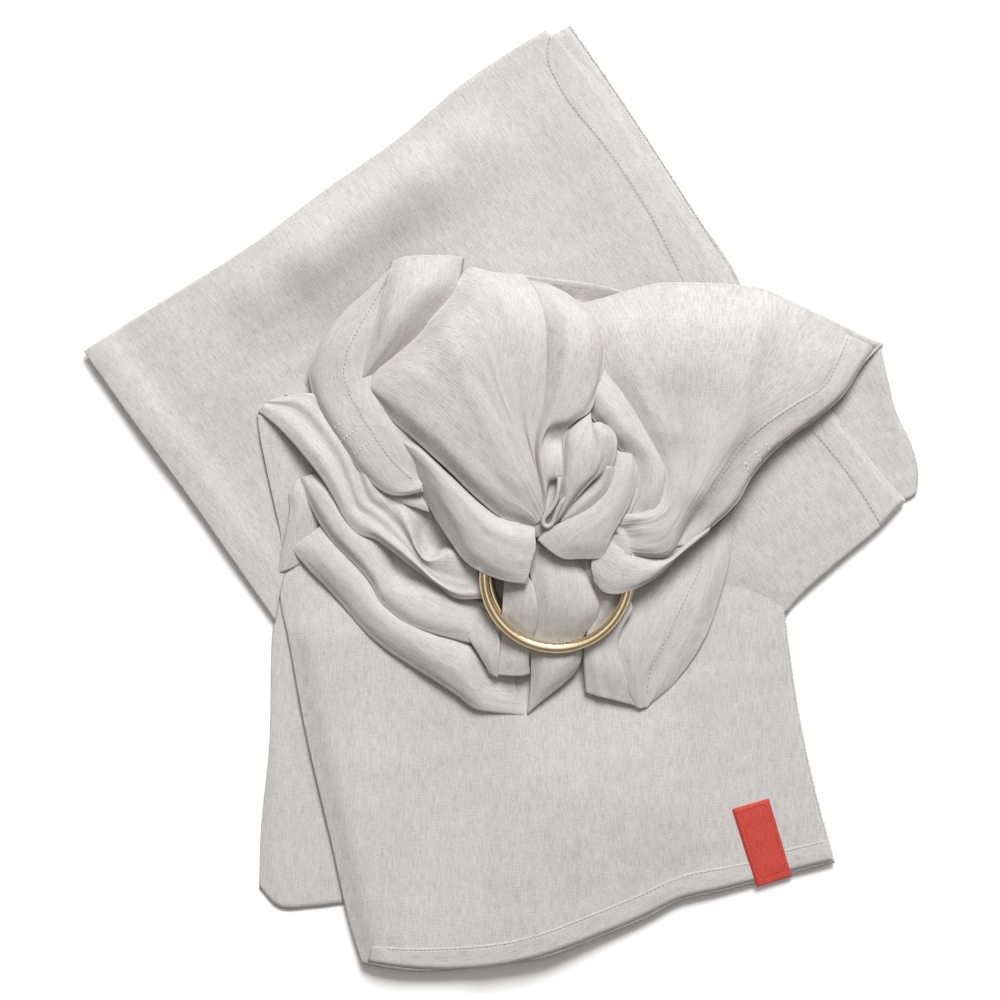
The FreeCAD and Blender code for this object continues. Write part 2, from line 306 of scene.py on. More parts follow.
def ramp(tree, source, low, high, middle=None):
    """A tone that changes with the source, between stops (value, colour or grey)."""
    made = tree.nodes.new("ShaderNodeValToRGB")
    elements = made.color_ramp.elements
    stops = [low, middle, high] if middle else [low, high]
    while len(elements) < len(stops):
        elements.new(0.5)
    for element, (at, tone) in zip(elements, stops):
        element.position = at
        element.color = (*tone, 1) if isinstance(tone, tuple) else (tone, tone, tone, 1)
    tree.links.new(source, made.inputs[0])
    return made.outputs[0]


def blend_colour(tree, factor, a, b, mode="MIX"):
    made = node(tree, "ShaderNodeMix", {6: a, 7: b}, data_type="RGBA", blend_type=mode)
    made.inputs[0].default_value = factor
    return made.outputs[2]


def combined(tree, a, b, operation):
    return node(tree, "ShaderNodeMath", {0: a, 1: b}, operation=operation).outputs[0]


def relief(tree, height, strength, depth):
    """Fine relief for a shader's normal, with its depth in metres."""
    return node(tree, "ShaderNodeBump", {"Height": height}, Strength=strength, Distance=depth).outputs[0]


def linen_material(name, pale, dark, warmth):
    """Plain-woven linen: slubs along the warp and weft, a fine weave and uneven dye."""
    material, tree, shader = new_material(name)
    uv = cloth_place(tree)
    slub = grain(tree, uv, (1500, 140, 1), 3.0, 0.65)
    weft = grain(tree, uv, (200, 1700, 1), 2.0, 0.6)
    speck = grain(tree, uv, (1300, 1300, 1), 2.0, 0.7)
    patch = grain(tree, uv, (26, 12, 1), 3.0, 0.55)
    warp_tone = ramp(tree, slub, (0.32, dark), (0.72, warmth), (0.52, pale))
    weft_tone = ramp(tree, weft, (0.34, dark), (0.75, pale), (0.52, pale))
    speck_tone = ramp(tree, speck, (0.32, dark), (0.7, warmth), (0.5, pale))
    colour = blend_colour(tree, 0.36, warp_tone, weft_tone)
    colour = blend_colour(tree, 0.3, colour, speck_tone)
    shade = ramp(tree, patch, (0.3, (0.93, 0.925, 0.92)), (0.7, 1))
    colour = blend_colour(tree, 1.0, colour, shade, "MULTIPLY")
    streak = grain(tree, uv, (260, 34, 1), 2.0)
    shade = ramp(tree, streak, (0.35, (0.955, 0.948, 0.945)), (0.62, 1))
    colour = blend_colour(tree, 1.0, colour, shade, "MULTIPLY")
    warp = ribs(tree, uv, (255, 0, 1), Distortion=1.2, Detail=1.0)
    weave = ribs(tree, uv, (0, 255, 1), bands_direction="Y", Distortion=1.2, Detail=1.0)
    height = combined(tree, combined(tree, warp, weave, "MULTIPLY"), speck, "ADD")
    normal = relief(tree, height, 0.32, 0.00022)
    rough = ramp(tree, speck, (0.3, 0.8), (0.7, 0.95))
    fill(tree, shader, {"Base Color": colour, "Normal": normal, "Roughness": rough},
         **{"Specular IOR Level": 0.18, "Sheen Weight": 0.06, "Sheen Roughness": 0.5})
    return material


def gold_material():
    """Pale gold plate, drawn fine along the wire, with faint wear."""
    material, tree, shader = new_material("pale_gold")
    place = body_place(tree)
    wear = grain(tree, place, (420, 420, 420), 4.0)
    fine = grain(tree, place, (2600, 2600, 2600), 2.0)
    tone = ramp(tree, wear, (0.3, (0.87, 0.69, 0.41)), (0.7, (0.94, 0.78, 0.51)))
    rough = ramp(tree, wear, (0.35, 0.17), (0.7, 0.23))
    normal = relief(tree, fine, 0.02, 0.0001)
    fill(tree, shader, {"Base Color": tone, "Roughness": rough, "Normal": normal}, Metallic=1.0)
    return material


def label_material():
    """Red damask-woven label: fine ribs across, with painted shade in their hollows, and an uneven dye."""
    material, tree, shader = new_material("red_label")
    uv = cloth_place(tree)
    across = ribs(tree, uv, (0, 420, 1), bands_direction="Y", Distortion=0.6)
    warp = grain(tree, uv, (1600, 300, 1), 2.0)
    tone = ramp(tree, warp, (0.3, (0.44, 0.032, 0.019)), (0.7, (0.60, 0.056, 0.034)))
    # painted shade: the colour darkens in the ribs' hollows, where the bump is lowest
    shade = ramp(tree, across, (0.0, 0.86), (1.0, 1))
    colour = blend_colour(tree, 1.0, tone, shade, "MULTIPLY")
    fill(tree, shader, {"Base Color": colour, "Normal": relief(tree, across, 0.4, 0.0002)},
         **{"Roughness": 0.7, "Sheen Weight": 0.15})
    return material


def thread_material(name, pale, dark):
    """Spun sewing thread, with its twist as a fine change of tone."""
    material, tree, shader = new_material(name)
    twist = grain(tree, body_place(tree), (1800, 1800, 1800), 2.0)
    tone = ramp(tree, twist, (0.3, dark), (0.7, pale))
    fill(tree, shader, {"Base Color": tone, "Normal": relief(tree, twist, 0.3, 0.0001)}, Roughness=0.85)
    return material


def floor_material():
    material, tree, shader = new_material("studio_floor")
    fill(tree, shader, **{"Base Color": (0.93, 0.93, 0.93, 1), "Roughness": 0.9, "Specular IOR Level": 0.0})
    return material


LINEN = linen_material("linen", (0.55, 0.529, 0.517), (0.335, 0.312, 0.295), (0.64, 0.618, 0.60))
GOLD = gold_material()
RED = label_material()
SEAM = thread_material("seam_thread", (0.50, 0.47, 0.44), (0.30, 0.275, 0.25))
BAR_THREAD = thread_material("bar_thread", (0.66, 0.64, 0.61), (0.52, 0.50, 0.475))
PALE_THREAD = thread_material("pale_thread", (0.66, 0.64, 0.61), (0.50, 0.48, 0.455))


# ---------------- pieces

def add_object(name, data):
    obj = bpy.data.objects.new(name, data)
    bpy.context.scene.collection.objects.link(obj)
    return obj


def mesh_piece(name, vertices, faces, material, uvs=None):
    """A mesh object from points in millimetres."""
    mesh = bpy.data.meshes.new(name)
    mesh.from_pydata([tuple(v) for v in np.asarray(vertices) * MM], [], faces)
    if uvs is not None:
        layer = mesh.uv_layers.new(name="cloth")
        loops = np.empty(len(mesh.loops), int)
        mesh.loops.foreach_get("vertex_index", loops)
        layer.data.foreach_set("uv", (np.asarray(uvs)[loops] * MM).ravel())
    mesh.materials.append(material)
    mesh.polygons.foreach_set("use_smooth", [True] * len(mesh.polygons))
    mesh.update()
    return add_object(name, mesh)


def thicken(piece, thickness):
    solid = piece.modifiers.new("cloth", "SOLIDIFY")
    solid.thickness = thickness * MM
    solid.offset = -1


def grid_faces(rows, columns):
    return [
        (i * columns + j, i * columns + j + 1, (i + 1) * columns + j + 1, (i + 1) * columns + j)
        for i in range(rows - 1)
        for j in range(columns - 1)
    ]


def grid_area(grid):
    """Area of a grid's surface, mm2."""
    a, b = grid[1:, 1:] - grid[:-1, :-1], grid[1:, :-1] - grid[:-1, 1:]
    return float(np.linalg.norm(np.cross(a, b), axis=2).sum() / 2)


TO_FRONT_RING = ("root", "front_ring", (0.0308, 0.014, 0.025), (0.0308, -0.008, 0.025))
TO_REAR_RING = ("root", "rear_ring", (0.0308, -0.118, 0.012), (0.0308, -0.086, 0.012))


def carried(piece, body):
    """The piece carried by one body; for a hand-over from the heap to a ring, only its transform is
    applied.
    """
    if isinstance(body, tuple):
        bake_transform(piece)
    else:
        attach(piece, body)


def cloth(name, grid, body="root", warp=None, thickness=CLOTH):
    """A sheet of linen over a grid. The weave runs along the rows, or at angle warp in plan."""
    rows, columns = grid.shape[:2]
    across = np.linalg.norm(np.diff(grid, axis=0), axis=2)
    along = np.linalg.norm(np.diff(grid, axis=1), axis=2)
    if warp is None:
        u = np.concatenate([np.zeros((1, columns)), np.cumsum(across, axis=0)])
        u = u.mean(axis=1, keepdims=True) * np.ones((1, columns))
        v = np.concatenate([np.zeros((rows, 1)), np.cumsum(along, axis=1)], axis=1)
    else:
        a = math.radians(warp)
        u = -grid[..., 0] * math.sin(a) + grid[..., 1] * math.cos(a)
        v = grid[..., 0] * math.cos(a) + grid[..., 1] * math.sin(a)
    shift = 137.0 * (len(name) % 7)  # another part of the weave's pattern
    uvs = np.stack([u, v], axis=-1).reshape(-1, 2) + shift
    faces = grid_faces(rows, columns)
    normal = np.cross(grid[-1, 0] - grid[0, 0], grid[0, -1] - grid[0, 0])
    if normal[2] > 0:
        faces = [f[::-1] for f in faces]
    piece = mesh_piece(name, grid.reshape(-1, 3), faces, LINEN, uvs)
    thicken(piece, thickness)
    wide = float(across.sum(axis=0).max()) * MM
    long = float(along.sum(axis=1).max()) * MM
    area = grid_area(grid) * MM * MM
    area = min(max(area, 0.3 * wide * long), wide * long)
    carried(piece, body)
    return piece


# ---------------- the flat panels

def layer(name, cad, edges, spacing, base, wrinkle, rises=(), crests=(), turn=None, body="root",
          held="folded", warp=-55):
    """A flat layer of a panel, filled in between its top, bottom, left and right edges in plan."""
    grid = heights(coons(*edges, spacing), base, *rises)
    for crest in crests:
        grid = crested(grid, *crest)
    grid = wrinkled(grid, *wrinkle)
    if turn:
        grid = rolled(grid, "start", turn)
    piece = cloth(name, grid, body, warp)
    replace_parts(piece, cad)
    return piece


BODY_TOP = flat(-239,87, -200,112, -140,150, -100,180, -60,208, -20,242, 25,271)
BODY_SIDE = flat(39,274, 62,241, 82,211, 111,166, 138,123, 140,60)
SIDE_EDGE = flat(217,90, 221,72, 226,52, 236,30, 239,14, 238,5)
TAIL_SIDE = flat(148,50, 157,-20, 162,-63, 170,-120, 182,-175, 191,-207)


def body_panel():
    bottom = flat(-130,-67, -124,-40, -112,-18, -60,5, 20,20, 100,40, 140,60)
    upper = (
        BODY_TOP, bottom,
        flat(-239,87, -220,60, -180,5, -130,-67),
        flat(25,271, 58,239, 79,210, 109,164, 136,122, 140,60),
    )
    rises = (
        ((-175, 60), 60, 26, 42, 2.0),
        ((60, 190), 60, 22, -55, 3.0),
        ((-126, -58), 40, 12, -60, -2.2),
    )
    crests = (
        (flat(-108,143, -90,157, -66,175, -52,185), 6.5, 16, 23),
        (flat(-138,120, -104,146, -66,174, -24,204), 6.0, 17, 25),
        (flat(-226,84, -208,60, -172,12, -126,-52), 3.4, 9, 24),
    )
    lower = (
        flat(-238,86, -200,111, -140,149, -60,207, -10,246, 39,274), bottom,
        flat(-238,86, -219,60, -179,5, -130,-66),
        BODY_SIDE,
    )
    piece = layer("body_panel_top_layer", "body_panel_upper", upper, 2.6, 4.0, (1, 0.34, 12), rises,
                  crests, 1.0, warp=-56)
    layer("body_panel_under_layer", "body_panel_lower", lower, 4.0, 1.0, (2, 0.1, 20), warp=-56)
    return piece


def side_panel():
    upper = (
        flat(100,110, 150,98, 180,66),
        flat(112,-50, 140,-58, 160,-63.4, 163.4,-64, 166,-60, 172,-53.4, 192.5,-34.8, 217,-14, 231.6,1.2),
        flat(100,110, 95,40, 100,-20, 112,-50),
        flat(180,66, 188.3,53.8, 204.8,33.2, 219.2,14.6, 231.6,1.2),
    )
    rises = (
        ((165, 0), 60, 25, -55, 1.6),
        ((215, -10), 30, 14, -55, 1.0),
        ((136, -62), 34, 14, -12, -3.2),
    )
    lower = (
        flat(100,110, 140,122, 180,104, 217,90),
        flat(112,-46, 140,-54, 160,-58, 190,-33, 214,-12, 226,0, 234,2, 238,5),
        flat(100,110, 95,40, 100,-20, 112,-46),
        SIDE_EDGE,
    )
    piece = layer("side_panel_top_layer", "side_panel_upper", upper, 2.4, 4.8, (3, 0.32, 12), rises)
    layer("side_panel_under_layer", "side_panel_lower", lower, 3.2, 2.2, (4, 0.3, 11),
          [((222, 60), 40, 8, -75, 1.6)])
    return piece


def tail_panel():
    upper = (
        flat(-118.5,-27, -60,10, 0,35, 80,45, 148,50),
        flat(-79,-265, -45,-269, 0,-264, 20,-262, 55,-250, 85,-238, 100,-230, 125,-224, 160,-215, 191,-207),
        flat(-118.5,-27, -126.5,-53, -122,-76, -112,-130, -97,-195, -84,-250, -79,-265),
        TAIL_SIDE,
    )
    rises = (
        ((-8, -185), 60, 9, 84, -1.6),
        ((100, -150), 70, 30, -85, 1.2),
        ((120, 10), 90, 35, 0, -2.6),
        ((-122, -45), 30, 14, -80, 1.2),
    )
    crests = (
        (flat(-70,-258, -83,-195, -98,-130, -106,-85), 6.0, 11, 38),
        (flat(2,-262, 16,-210, 34,-172), 8.5, 36, 60),
    )
    lower = (
        flat(-128,2, -90,2, -60,2),
        flat(-139,-222, -128,-233, -110,-233, -92,-231, -60,-229),
        flat(-128,2, -125.8,-22, -127,-40, -131,-74, -133,-140, -138,-190, -139,-222),
        flat(-60,2, -60,-120, -60,-229),
    )
    piece = layer("tail_top_layer", "tail_panel_upper", upper, 2.6, 3.4, (5, 0.34, 11), rises, crests,
                  1.2, "tail", "laid", -87)
    rises = (((-129, -150), 60, 5, 88, 1.6), ((-128, -45), 36, 20, 88, 1.5))
    layer("tail_under_layer", "tail_panel_lower", lower, 3.2, 1.3, (6, 0.15, 12), rises, (), 0.8,
          "tail", "laid", -88)
    return piece


# ---------------- the gathered folds

MESH_SPACING = 1.5
WRINKLE_HEIGHT, WRINKLE_SIZE = 0.28, 6.0
CLEAR_OF_RINGS = ("back_hem", "under_fold", "shoulder_behind")
folds = {}


def fold(name, rails, node=(), body="root", rolls=None, creases=0.25, crests=()):
    """A gathered fold, which stands for the CAD nodes named.

    Its rails are lines over the cloth, from one side of it to the other, each a run of x,y,z triples
    in mm that goes from the fold's outer end towards the rings. Its rolls are the sides where the
    cloth turns over and under, with the radius of the turn. A crest is a line in plan, its rise, and
    its widths to the left and right.
    """
    number = len(folds)
    grid = loft([np.reshape(rail, (-1, 3)) for rail in rails], MESH_SPACING)
    for crest in crests:
        grid = crested(grid, *crest)
    grid = creased(grid, 60 + number, creases)
    grid = wrinkled(grid, 10 + number, WRINKLE_HEIGHT, WRINKLE_SIZE)
    if name.startswith(("ring_cloth", "pouch")):
        grid = threaded(grid)
    elif name not in CLEAR_OF_RINGS:
        grid = over_ring(grid)
    for side, radius in (rolls or {}).items():
        grid = rolled(grid, side, radius)
    folds[name] = cloth(name, grid, body)
    if node:
        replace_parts(folds[name], *node)


# The cloth's edge doubles back on itself low in the rosette: the line its narrow roll follows.
HAIRPIN = np.reshape([
    32.4,14,35, 31.9,8,35.2, 31,3,34.6, 29.2,-1.6,33.8, 26.6,-5.6,32.8, 23.8,-9,32, 23.4,-12.4,31.4,
    25.6,-14,31.2, 28.2,-12.2,31.6, 29.8,-8.6,32.6, 31.4,-4.4,33.8, 34,0,34.8, 37.6,5,35,
], (-1, 3))
HAIRPIN_HALF_WIDTH = 1.35
# A narrow roll's section, in half widths out and up from its line.
ROLL_SECTION = ((-1.0, -4.0), (-1.05, -0.9), (-0.95, -0.1), (-0.6, 0.5), (-0.1, 0.7), (0.4, 0.6),
                (0.85, 0.1), (1.05, -0.8), (1.0, -4.0))


def narrow_roll(name, line, half, body):
    """A narrow roll of cloth, half-round on top, along a line."""
    p = even(line, 70)
    run = np.gradient(p, axis=0)[:, :2]
    run /= np.linalg.norm(run, axis=1, keepdims=True)
    side = np.column_stack([-run[:, 1], run[:, 0], np.zeros(len(run))])
    rows = [p + side * half * out + UP * (half * up) for out, up in ROLL_SECTION]
    return cloth(name, np.array(rows), body)


# ---------------- trims

def surface_of(piece):
    mesh = piece.data
    return BVHTree.FromPolygons(
        [v.co[:] for v in mesh.vertices], [tuple(p.vertices) for p in mesh.polygons]
    )


def laid_on(tree, points, lift):
    """The points dropped onto a surface from above, or set level with its nearest place beside it."""
    placed = []
    for x, y in points:
        hit = tree.ray_cast(Vector((x * MM, y * MM, 0.2)), Vector((0, 0, -1)))[0]
        hit = hit or tree.find_nearest(Vector((x * MM, y * MM, 0.02)))[0]
        placed.append((x, y, hit.z / MM + lift))
    return placed


def respaced(line, spacing):
    """A line in plan with a point about every spacing mm."""
    line = even(line, 60)
    return even(line[::3], max(3, int(length_of(line) / spacing)))[:, :2]


GAP = 0.16  # left free at either end of a stitch, mm
ARCH_END, ARCH_MIDDLE, FOOT = 0.08, 0.30, -0.15  # a stitch's heights over the cloth, mm


def stitches(name, tree, line, body, material=SEAM, pitch=2.6, width=0.5):
    """A row of machine stitches: short rounded bars of thread along a line on a surface."""
    points = respaced(line, pitch)
    verts, faces = [], []
    for a, b in zip(points[:-1], points[1:]):
        run = (b - a) / np.linalg.norm(b - a)
        side = np.array([-run[1], run[0]]) * width / 2
        start, end = a + run * GAP, b - run * GAP
        centre = laid_on(tree, [start, (start + end) / 2, end], 0.0)
        base = len(verts)
        for k, (x, y, z) in enumerate(centre):
            arch = ARCH_MIDDLE if k == 1 else ARCH_END
            for s, up in ((-1, FOOT), (-0.6, arch), (0.6, arch), (1, FOOT)):
                verts.append((x + side[0] * s, y + side[1] * s, z + up))
        for k in range(2):
            for q in range(3):
                i = base + 4 * k + q
                faces.append((i, i + 1, i + 5, i + 4))
            faces.append((base + 4 * k + 3, base + 4 * k, base + 4 * k + 4, base + 4 * k + 7))
        faces.append((base, base + 3, base + 2, base + 1))
        faces.append((base + 8, base + 9, base + 10, base + 11))
    piece = mesh_piece(name, verts, faces, material)
    carried(piece, body)
    return piece


# Across a hem, as shares of its width, and the height of its layer over the cloth there, mm.
HEM_SECTION = ((-0.03, -0.4), (0.0, 0.05), (0.06, 0.3), (0.25, 0.36), (0.5, 0.36), (0.75, 0.36),
               (0.97, 0.3))


HEM_THICKNESS = 0.3


def hem_band(name, tree, inner, outer, body, cad=None):
    """The turned-over hem: a second layer of cloth between the stitch line and the edge."""
    count = max(10, int(length_of(even(inner, 40)) / 2.2))
    a, b = (even(line, count)[:, :2] for line in (inner, outer))
    rows = [laid_on(tree, a + (b - a) * t, lift) for t, lift in HEM_SECTION]
    piece = cloth(name, np.array(rows), body, thickness=HEM_THICKNESS)
    if cad:
        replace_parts(piece, cad)
    return surface_of(piece)


def fray(name, line, z, body, seed, density=1.7, reach=2.3):
    """Loose fibre ends along a raw or washed edge, on the line's left."""
    rng = random.Random(seed)
    points = respaced(line, 1.0 / density)
    verts, faces = [], []
    for a, b in zip(points[:-1], points[1:]):
        run = (b - a) / np.linalg.norm(b - a)
        out = np.array([-run[1], run[0]])
        for _ in range(2):
            foot = a + (b - a) * rng.random() - out * 0.6
            tip = foot + out * (0.6 + reach * rng.random() ** 2) + run * rng.uniform(-1.3, 1.3)
            mid = (foot + tip) / 2 + run * rng.uniform(-0.3, 0.3)
            half = run * 0.12
            base = len(verts)
            height = z + rng.uniform(-0.3, 0.3)
            for p, w, up in ((foot, 1.0, 0), (mid, 0.9, 0.15), (tip, 0.5, rng.uniform(-0.2, 0.3))):
                verts.append((*(p - half * w), height + up))
                verts.append((*(p + half * w), height + up))
            faces.append((base, base + 1, base + 3, base + 2))
            faces.append((base + 2, base + 3, base + 5, base + 4))
    piece = mesh_piece(name, verts, faces, PALE_THREAD)
    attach(piece, body)


def label(tree):
    """The woven label, folded over the tail's hem."""
    top_left, top_right, low_right, low_left = (
        np.array(p, float) for p in ((132, -176), (153, -170), (166, -214), (146, -220))
    )
    wide, tall, tucked, lift, lowest = 22, 46, 6.0, 0.75, 4.0
    rows, columns = 24, 12
    grid = np.zeros((rows, columns, 3))
    for i in range(rows):
        left = top_left + (low_left - top_left) * i / (rows - 1)
        right = top_right + (low_right - top_right) * i / (rows - 1)
        row = [left + (right - left) * j / (columns - 1) for j in range(columns)]
        grid[i] = laid_on(tree, row, lift)
    grid[..., 2] = np.maximum(grid[..., 2], lowest)
    grid = rolled(grid, "last", 0.9, tucked)
    rows = grid.shape[0]
    v, u = np.meshgrid(np.linspace(0, tall, rows), np.linspace(0, wide, columns), indexing="ij")
    faces = [f[::-1] for f in grid_faces(rows, columns)]
    uvs = np.stack([u, v], axis=-1).reshape(-1, 2)
    piece = mesh_piece("woven_label_cloth", grid.reshape(-1, 3), faces, RED, uvs)
    thicken(piece, 0.35)
    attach(piece, "tail")
    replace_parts(piece, "woven_label")
    return piece


# ---------------- stage

def stage_and_lights():
    mesh = bpy.data.meshes.new("floor")
    size = 3.0
    corners = [(-size, -size, 0), (size, -size, 0), (size, size, 0), (-size, size, 0)]
    mesh.from_pydata(corners, [], [(0, 1, 2, 3)])
    mesh.materials.append(floor_material())
    add_object("floor", mesh)
    world = bpy.data.worlds.new("studio")
    world.use_nodes = True
    sky = world.node_tree.nodes["Background"]
    fill(world.node_tree, sky, Color=(1.0, 0.93, 0.875, 1), Strength=0.23)
    bpy.context.scene.world = world
    bpy.context.scene.view_settings.view_transform = "Standard"
    for name, place, size, power in (
        ("key", (0.5, 2.5, 2.5), 1.6, 186),
        ("top", (0.2, 0.3, 3.0), 2.4, 14),
    ):
        lamp = bpy.data.lights.new(name, "AREA")
        lamp.shape = "SQUARE"
        lamp.size = size
        lamp.energy = power
        lamp.color = (0.975, 0.99, 1.0)
        obj = add_object(name, lamp)
        obj.location = place
        obj.rotation_mode = "QUATERNION"
        obj.rotation_quaternion = (Vector((0, 0, 0)) - Vector(place)).to_track_quat("-Z", "Y")


def camera():
    """Straight above the bundle, as far as a long lens stands off."""
    distance, field, sensor = 1.8, 0.575, 36.0
    data = bpy.data.cameras.new("camera")
    data.sensor_width = sensor
    data.lens = sensor * distance / field
    data.clip_end = 20
    obj = add_object("camera", data)
    obj.location = (-0.0012, 0.0012, distance)
    bpy.context.scene.camera = obj


# ---------------- build

camera()
stage_and_lights()
body_top, side_top, tail_top = (surface_of(panel()) for panel in (body_panel, side_panel, tail_panel))

fold("shoulder_main", node=["shoulder_main_pleat"], body=TO_FRONT_RING,
     rolls=dict(first=1.1, start=1.8, end=1.2), creases=0.35,
     crests=[
         (flat(-36,104, -22,72, -4,36, 10,12), 1.6, 8, 7),
     ], rails=[
    [-80,66,12, -70,57,17, -61,46,20, -50,37,22, -39,27,24, -29,18,25, -18,7,26, -8,-2,27, 0.5,-8.5,27,
     9,-11,27.6, 16,-12.6,27.4],
    [-79.5,68,14, -67,59.6,23, -51,47.4,28.4, -34,32.6,31, -19,16.6,32, -6,4,32.2, 6,-4.4,32, 14,-8,31.4,
     18.2,-11.8,29],
    [-72,76,15.6, -52,72,29, -33,57,32.8, -14,36,34.4, -2,19,34.8, 8,7,34.2, 15.6,-1.4,33, 21,-10,29.5],
    [-61,84,15.6, -42,84,29, -20,72,34.6, -5,50,36.2, 5,30,36, 12,14,35, 18.6,2,33.6, 22.4,-7,30],
    [-48,95,15, -32,97,28.6, -15,86,35.6, -3,62,37.2, 5.5,42,37, 12.5,24,36, 17.6,11,34.8, 21.6,0,32.2,
     23,-5,30],
    [-27,121,14, -14,117,27, -5,100,35, -1,78,37.6, 4.6,56,37.2, 8.8,42.6,36.4, 14.8,25,35.4, 18.8,13,34,
     22.4,2.6,32],
    [-18,134,11, -4,124,26, 4,105,35.6, 6.4,80,38, 8.8,58,36.8, 10.8,44,34.8, 16.2,27,33.6, 20,14.6,32.8,
     22.8,4.6,31.2],
    [-2,130,12, 8,120,27, 15,100,36, 17.4,78,38, 17.4,58,37, 15.2,43,36, 17,31,34.8, 19.2,20,33.4,
     22,9,31.4],
    [14,129,12, 21,118,26, 25.2,100,33, 25.8,82,34, 24.8,62,33, 23.4,52,32.8, 19.4,37,32.6, 18.6,27,32.2,
     20,17,31],
])
fold("shoulder_scroll", node=["shoulder_scroll_fold"], body=TO_FRONT_RING,
     rolls=dict(start=1.6, first=0.6, last=0.9), creases=0.3, rails=[
    [15,126,10, 20,108,25, 21,90,29, 21,75,29, 20,55,28.8, 17.6,38,29, 17,30,29, 17.8,20,29, 20,8,29,
     21.6,-1,28.6, 21,-8,27.5, 21,-12.6,26],
    [28,123,12, 34,108,31, 36,92,38, 34.5,76,40, 31,62,39.5, 25.6,47.6,38, 21.8,37.6,37.2, 20.8,28,36.6,
     21.6,19,35.8, 23.4,8,34.2, 24.4,0,32.6, 23.2,-7,31, 22.4,-12.4,27.6],
    [38,118,13, 46,104,33, 48,88,40, 45,74,41.5, 40,63,41, 33,51.6,39.8, 27.4,43.6,38.4, 24.6,37.6,35.2,
     24,31,35.8, 24.6,20,36, 26,13,34.8, 26.6,10.4,31, 27,9,25, 27,8,22],
    [44,114,13, 51,104,28, 55.5,90,32, 53.6,74,36.5, 50,60.6,39, 42.6,51,40, 35,45,38.6, 30.4,39.8,33,
     29.6,34.6,31.6, 29.6,28,34.6, 29.8,18,35.4, 29.8,13.4,34, 29.8,11.4,28, 29.8,10.4,22],
    [46,113,10, 54,103,22, 57.5,90,27, 56.4,75,31.4, 52.3,60.6,34.5, 48.6,51,36.6, 40.8,45.6,37,
     35.6,40.4,33, 34.4,34,31.2, 34.4,28,33.4, 34.2,20,34.2, 33.8,14,33.4, 33.4,12,28, 33.2,11,22],
])
fold("shoulder_ridge", node=["shoulder_ridge_pleat"], rolls=dict(first=0.9, start=1.2), rails=[
    [-62.5,136,14, -66,123,16, -71,105,17.4, -76,88,17.6, -80,72,17],
    [-57,139,15, -60,120,22, -65,104,25, -71,88,22.4, -79.5,71,17.6],
    [-45,140,15, -49,122,25, -57,105,26, -67,87,22.4, -79,70,17],
    [-32,140,14, -37,124,22, -48,106,22, -61,86,18, -78,69.5,16],
    [-22,139,9, -26,121,13, -37,105,13, -52,89,13, -76,69,12],
])
fold("shoulder_outer", node=["shoulder_outer_pleat", "shoulder_hem_left", "shoulder_left_facing"],
     rolls=dict(first=0.8, end=0.5), rails=[
    [-63,134,14, -79,118,15, -89,109,15.6, -100,95,15, -107,82,12, -110,75,10.5, -109,66,9.5, -105,54,10.5,
     -98,41,12, -89,29,13.5, -79,16,14.5, -70,8.2,15.8, -63,4.6,17, -55,4.4,18, -46,6.6,18.4],
    [-63.5,133,15, -78,117.6,16.6, -87,108,16.6, -97.5,94,16.6, -104.5,81.6,15, -106.6,75,14, -106,66,14,
     -102,55,15.6, -95.4,42.6,17, -86.6,31,17.8, -77,18.4,18, -68,10.8,18, -61,7,18.6, -53.6,6.2,19.2,
     -46,8,19.2],
    [-64.5,130,15.4, -75,114,17, -84,101,17.6, -92,87,17.6, -95,75,17, -93,64,17.6, -88.4,54,18.6,
     -81,41,19.4, -73,30,19.6, -65,20,19.4, -57.6,13,19, -52,10,18.4, -46,9.4,18.8],
    [-65,128,14, -73,110,16.6, -81,97,18, -88,84,18.4, -89.4,71,18.4, -86,60.6,18.8, -80,50,19.2,
     -74,39.6,19.6, -67,28.6,19.6, -59.6,19.4,19, -53,15,18.6, -45,11,17],
    [-66,123,14, -71,105,16.4, -77,88,17, -80,74,17.4, -77,64,18, -72,54,19.4, -66,44,20, -59,33,20,
     -52,24,19.2, -46,17,17.6, -40,12,15],
    [-58,120,12, -60,100,13, -66,84,14, -70,72,15, -66,60,16, -60,50,17, -52,40,18, -44,30,18.4,
     -36,20,18.2, -30,12,17],
])
fold("outer_flange", rolls=dict(last=0.6), creases=0.1, rails=[
    [-64,6,12, -57,7,12, -50,7.4,12, -42,8,12],
    [-63.6,4,14, -57,3.6,13.6, -50,3.4,13, -42,4,12.6],
    [-62.6,2.6,14.6, -56,0.6,15, -49,-1.4,15, -42,-3,14.4],
    [-62,1.8,13.4, -55.6,-0.8,13.6, -48.6,-3,13.6, -41.6,-5.4,13],
])
